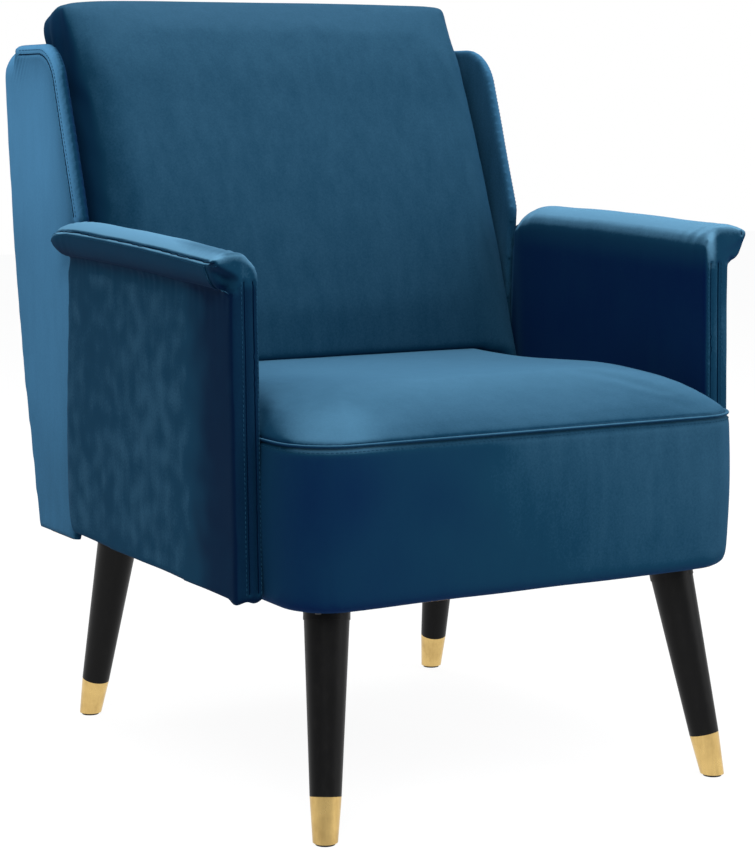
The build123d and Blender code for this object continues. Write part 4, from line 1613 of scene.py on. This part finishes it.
@dataclass
class BackShell:
    """Wings and outside back, sewn together round the rear corners."""

    finishes: Finishes
    voxel: float = 3.5 * MM
    seam_across: float = 240 * MM
    wing_outer: float = 297 * MM
    wing_thickness: float = 16 * MM
    seam_inset: float = 11 * MM
    stitch_inset: float = 6 * MM
    hub: Pair = (262 * MM, 690 * MM)
    hub_reach: float = 0.4
    pad_inset: Pair = (11 * MM, 35 * MM)
    pad_rear: Pair = (32 * MM, 14 * MM)
    pad_gap: Pair = (2 * MM, 1.5 * MM)
    arm_top: float = 598 * MM
    sweep: Pair = (214.0, 70.0)
    sweep_steps: int = 160
    seam_groove: Pair = (1.5 * MM, 2 * MM)
    seam_radius: float = 0.6 * MM
    pleat_depth: float = 0.9 * MM
    pleat_pitch: float = 1.5 * MM
    slack: float = 0.7 * MM
    # Painted light and shade on the wings' outer faces: lighter high up, darker low down and into the edge
    # seam.
    high_gain: float = 0.17
    low_shade: float = 0.1
    seam_shade: float = 0.24

    def filler(self) -> Piece:
        """Padding over the top rail, up to the lid that joins the outside back to the lining.

        Returns:
            The new object.
        """
        foot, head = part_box("inside_back_lining")
        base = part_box("back_top_rail")[0].z
        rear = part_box("outside_back_cover")[1]
        half, corner = (self.wing_outer - inset for inset in self.pad_inset)
        side_rear, middle_rear = (rear.y - inset for inset in self.pad_rear)
        front_gap, lid_gap = self.pad_gap
        slope = (head.y - foot.y) / (head.z - foot.z)
        levels = []
        for z in (base, rear.z - lid_gap):
            front = foot.y + slope * (z - foot.z) + front_gap
            right = ((half, front), (half, side_rear), (corner, middle_rear))
            plan = right + tuple((-x, y) for x, y in reversed(right))
            levels.append([Vector((x, y, z)) for x, y in plan])
        return Workshop.rings("back_filler", levels)

    def whole(self) -> Piece:
        """Wings and outside back as one even form.

        Returns:
            The new object.
        """
        panels = (*(f"{side.word}_wing" for side in Side), "outside_back")
        nodes = [f"{panel}_{layer}" for panel in panels for layer in ("cover", "foam", "board")]
        shell = Workshop.joined("back_shell", nodes, self.filler())
        Workshop.remesh(shell, self.voxel)
        Workshop.smooth(shell, 3)
        return shell

    def edge_line(self, wing: Piece, side: Side, inset: float) -> list[Vector]:
        """Line on a wing's outer face, at an inset from its front and top edge.

        Args:
            wing: the wing's object.
            side: which side the wing is on.
            inset: how far in from the edge.

        Returns:
            The line's points on the wing.
        """
        outward = Vector((side.value, 0, 0))
        middle = Vector((side.value * (self.wing_outer - 0.5 * self.wing_thickness), *self.hub))
        rays = []
        first, last = self.sweep
        for i in range(self.sweep_steps + 1):
            turn = math.radians(first - i * (first - last) / self.sweep_steps)
            way = Vector((0, math.cos(turn), math.sin(turn)))
            rays.append((middle + way * self.hub_reach, -way))
        rim = [p for p in Workshop.traced(wing, rays) if p.z > self.arm_top - 16 * MM]
        across = []
        for before, place, after in zip(rim, rim[1:], rim[2:]):
            inward = (after - before).cross(outward).normalized()
            if inward.dot(middle - place) < 0:
                inward = -inward
            across.append((place + inward * inset + outward * RAY_START, -outward))
        return Workshop.traced(wing, across)

    def wing(self, shell: Piece, side: Side) -> None:
        """One wing, wrapped round its rear corner, with its sewn edge band.

        Args:
            shell: the wings and outside back as one form.
            side: which side the wing is on.
        """
        limits = (None, -self.seam_across) if side is Side.LEFT else (self.seam_across, None)
        wing = Workshop.clipped(f"{side.word}_wing_upholstery", shell, *limits)
        Workshop.refine(wing, "SIMPLE")
        rear_end = self.edge_line(wing, side, self.seam_inset)[-1]

        def slack(place: Vector, normal: Vector) -> Vector:
            """Padding and the small pleats at the rear end of the seam.

            Args:
                place: the point, in metres.
                normal: the surface's direction there.

            Returns:
                The move.
            """
            outside = ramp(side.value * place.x - self.wing_outer, -6, -1)
            slant = place.y + 0.6 * place.z
            pleats = math.sin(slant / self.pleat_pitch) * bell((place - rear_end).length, 22 * MM)
            padding = self.slack * waver(place, 80 * MM, 4.0)
            return normal * (outside * self.pleat_depth * pleats + padding)

        Workshop.sculpt(wing, slack)
        seam = self.edge_line(wing, side, self.seam_inset)
        row = self.edge_line(wing, side, self.stitch_inset)
        Workshop.press(wing, seam, *self.seam_groove)
        self.stroke(wing, side, seam)
        sewn = Workshop.snapped(wing, seam)
        # Dark cord in the groove: painted seam shadow.
        cord = Workshop.piping(f"{side.word}_wing_seam", sewn, self.seam_radius)
        thread = Workshop.stitches(f"{side.word}_wing_stitches", wing, row)
        finish_piece(cord, self.finishes.seam)
        finish_piece(wing, self.finishes.velvet_wing[side])
        finish_piece(thread, self.finishes.thread)
        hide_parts(f"{side.word}_wing_cover", f"{side.word}_wing_foam")

    def stroke(self, wing: Piece, side: Side, seam: Sequence[Vector]) -> None:
        """Paints light and shade on the outer face: lighter high up, darker low down, and painted shade
        into the seam.

        Args:
            wing: the wing's object.
            side: which side the wing is on.
            seam: the edge seam's points.
        """
        near = Workshop.nearby(seam)

        def share(place: Vector, normal: Vector) -> float:
            """How much lighter, or below nothing how much darker, one point is.

            Args:
                place: the point, in metres.
                normal: the surface's direction there.

            Returns:
                How much lighter the painted light makes the velvet.
            """
            found, _, gap = near.find(place)
            behind = ramp(found.z - place.z + place.y - found.y, -1, 3)
            light_falloff = self.high_gain * rise(place.z, 0.5, 0.74)
            light_falloff -= self.low_shade * (1 - rise(place.z, 0.27, 0.5))
            into_seam = self.seam_shade * behind * math.exp(-gap / (22 * MM))
            return max(side.value * normal.x, 0.0) * (light_falloff - into_seam)

        Workshop.stroke(wing, share)

    def panel(self, shell: Piece) -> None:
        """The middle of the outside back.

        Args:
            shell: the wings and outside back as one form.
        """
        panel = Workshop.clipped("outside_back_upholstery", shell, -self.seam_across, self.seam_across)
        finish_piece(panel, self.finishes.velvet_outside)
        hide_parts("outside_back_cover", "outside_back_foam")

    def build(self) -> None:
        """Makes both wings and the outside back."""
        shell = self.whole()
        for side in Side:
            self.wing(shell, side)
        self.panel(shell)
        bpy.data.objects.remove(shell)


@dataclass
class Studio:
    """Floor, light and camera."""

    focal_px: float = 2325.6
    image_px: tuple[int, int] = (755, 851)
    sensor_mm: float = 36.0
    eye: Triple = (-1.3186, -2.2887, 0.7165)
    turn: float = math.radians(-30.242)
    dip: float = math.radians(7.634)
    aim: Triple = (0.0, 0.0, 0.42)
    floor_reach: float = 9.0
    floor_colour: Colour = (0.9, 0.9, 0.9)
    floor_glow: float = 1.08
    floor_share: float = 0.86
    sky: Colour = (0.9, 0.95, 1.0)
    sky_strength: float = 0.32
    backdrop: Colour = (1.0, 1.0, 1.0)

    def camera(self) -> None:
        """Camera at the photograph's place."""
        data = bpy.data.cameras.new("camera")
        data.sensor_width = self.sensor_mm
        data.lens = self.sensor_mm * self.focal_px / max(self.image_px)
        data.clip_end = 60.0
        camera = bpy.data.objects.new("camera", data)
        camera.location = self.eye
        level = math.cos(self.dip)
        back = Vector((math.sin(self.turn) * level, -math.cos(self.turn) * level, math.sin(self.dip)))
        camera.rotation_euler = (-back).to_track_quat("-Z", "Y").to_euler()
        bpy.context.scene.collection.objects.link(camera)
        bpy.context.scene.camera = camera

    def lamp(self, name: str, place: Sequence[float], size: float, watts: float) -> None:
        """Square soft light that faces the chair.

        Args:
            name: the lamp's name.
            place: where it hangs.
            size: its width.
            watts: its power.
        """
        data = bpy.data.lights.new(name, "AREA")
        data.size = size
        data.energy = watts
        lamp = bpy.data.objects.new(name, data)
        lamp.location = place
        towards = Vector(self.aim) - Vector(place)
        lamp.rotation_euler = towards.to_track_quat("-Z", "Y").to_euler()
        bpy.context.scene.collection.objects.link(lamp)

    def seen(self, graph: Graph) -> Signal:
        """1 for rays that show the floor or the world to the camera, straight or by reflection.

        Args:
            graph: the material's node graph.

        Returns:
            The share, 0 or 1.
        """
        kinds = [graph.node("ShaderNodeLightPath", output=f"Is {kind} Ray")
                 for kind in ("Camera", "Glossy", "Transmission")]
        return (kinds[0] + kinds[1] + kinds[2]).between(0.0, 0.5)

    def floor(self) -> None:
        """White floor that keeps a faint shadow."""
        far = self.floor_reach
        points = [(-far, -far, 0), (far, -far, 0), (far, far, 0), (-far, far, 0)]
        floor = Workshop.from_faces("floor", points, [(0, 1, 2, 3)])
        graph = Graph(bpy.data.materials.new("floor_white"))
        matt = graph.shade(Base_Color=self.floor_colour, Roughness=0.9, Specular_IOR_Level=0.0)
        glow = graph.node("ShaderNodeEmission", inputs={"Strength": self.floor_glow})
        graph.close("Material Output", self.seen(graph) * self.floor_share, matt, glow)
        floor.data.materials.append(graph.owner)

    def world(self) -> None:
        """White surroundings for the camera, and a low even light for the chair."""
        world = bpy.data.worlds.new("studio")
        bpy.context.scene.world = world
        graph = Graph(world)
        light = graph.feed("Background", {"Color": self.sky, "Strength": self.sky_strength})
        white = graph.node("ShaderNodeBackground", inputs={"Color": self.backdrop})
        straight = graph.node("ShaderNodeLightPath", output="Is Camera Ray")
        graph.close("World Output", straight, light, white)

    def build(self) -> None:
        """Sets up the whole studio."""
        self.camera()
        self.floor()
        self.world()
        self.lamp("key", place=(-1.6, -2.4, 2.9), size=2.2, watts=95)
        self.lamp("fill", place=(2.3, -2.0, 1.4), size=2.0, watts=46)
        self.lamp("top", place=(0.2, 0.5, 3.0), size=2.4, watts=70)
        bpy.context.scene.view_settings.view_transform = "Standard"


def main() -> None:
    """Builds the chair and its studio."""
    logging.basicConfig(level=logging.INFO, format="%(name)s: %(message)s")
    Studio().build()
    finishes = Finishes()
    finishes.dress_frame()
    Seat(finishes).build()
    BackCushion(finishes).build()
    BackShell(finishes).build()
    # Each arm's front_loss and inner_gain set its painted shade on the front and painted highlight on the
    # inner top.
    left = Arm(
        finishes, Side.LEFT, settle=(-5 * MM, 1 * MM), fold=1.0, rear_fall=8 * MM, flare=0.0,
        front_loss=0.34, inner_gain=0.0,
    )
    right = Arm(
        finishes, Side.RIGHT, settle=(7 * MM, 6 * MM), fold=0.1, rear_fall=30 * MM, flare=5 * MM,
        front_loss=0.0, inner_gain=0.32,
    )
    left.build()
    right.build()


if __name__ == "__main__":
    main()
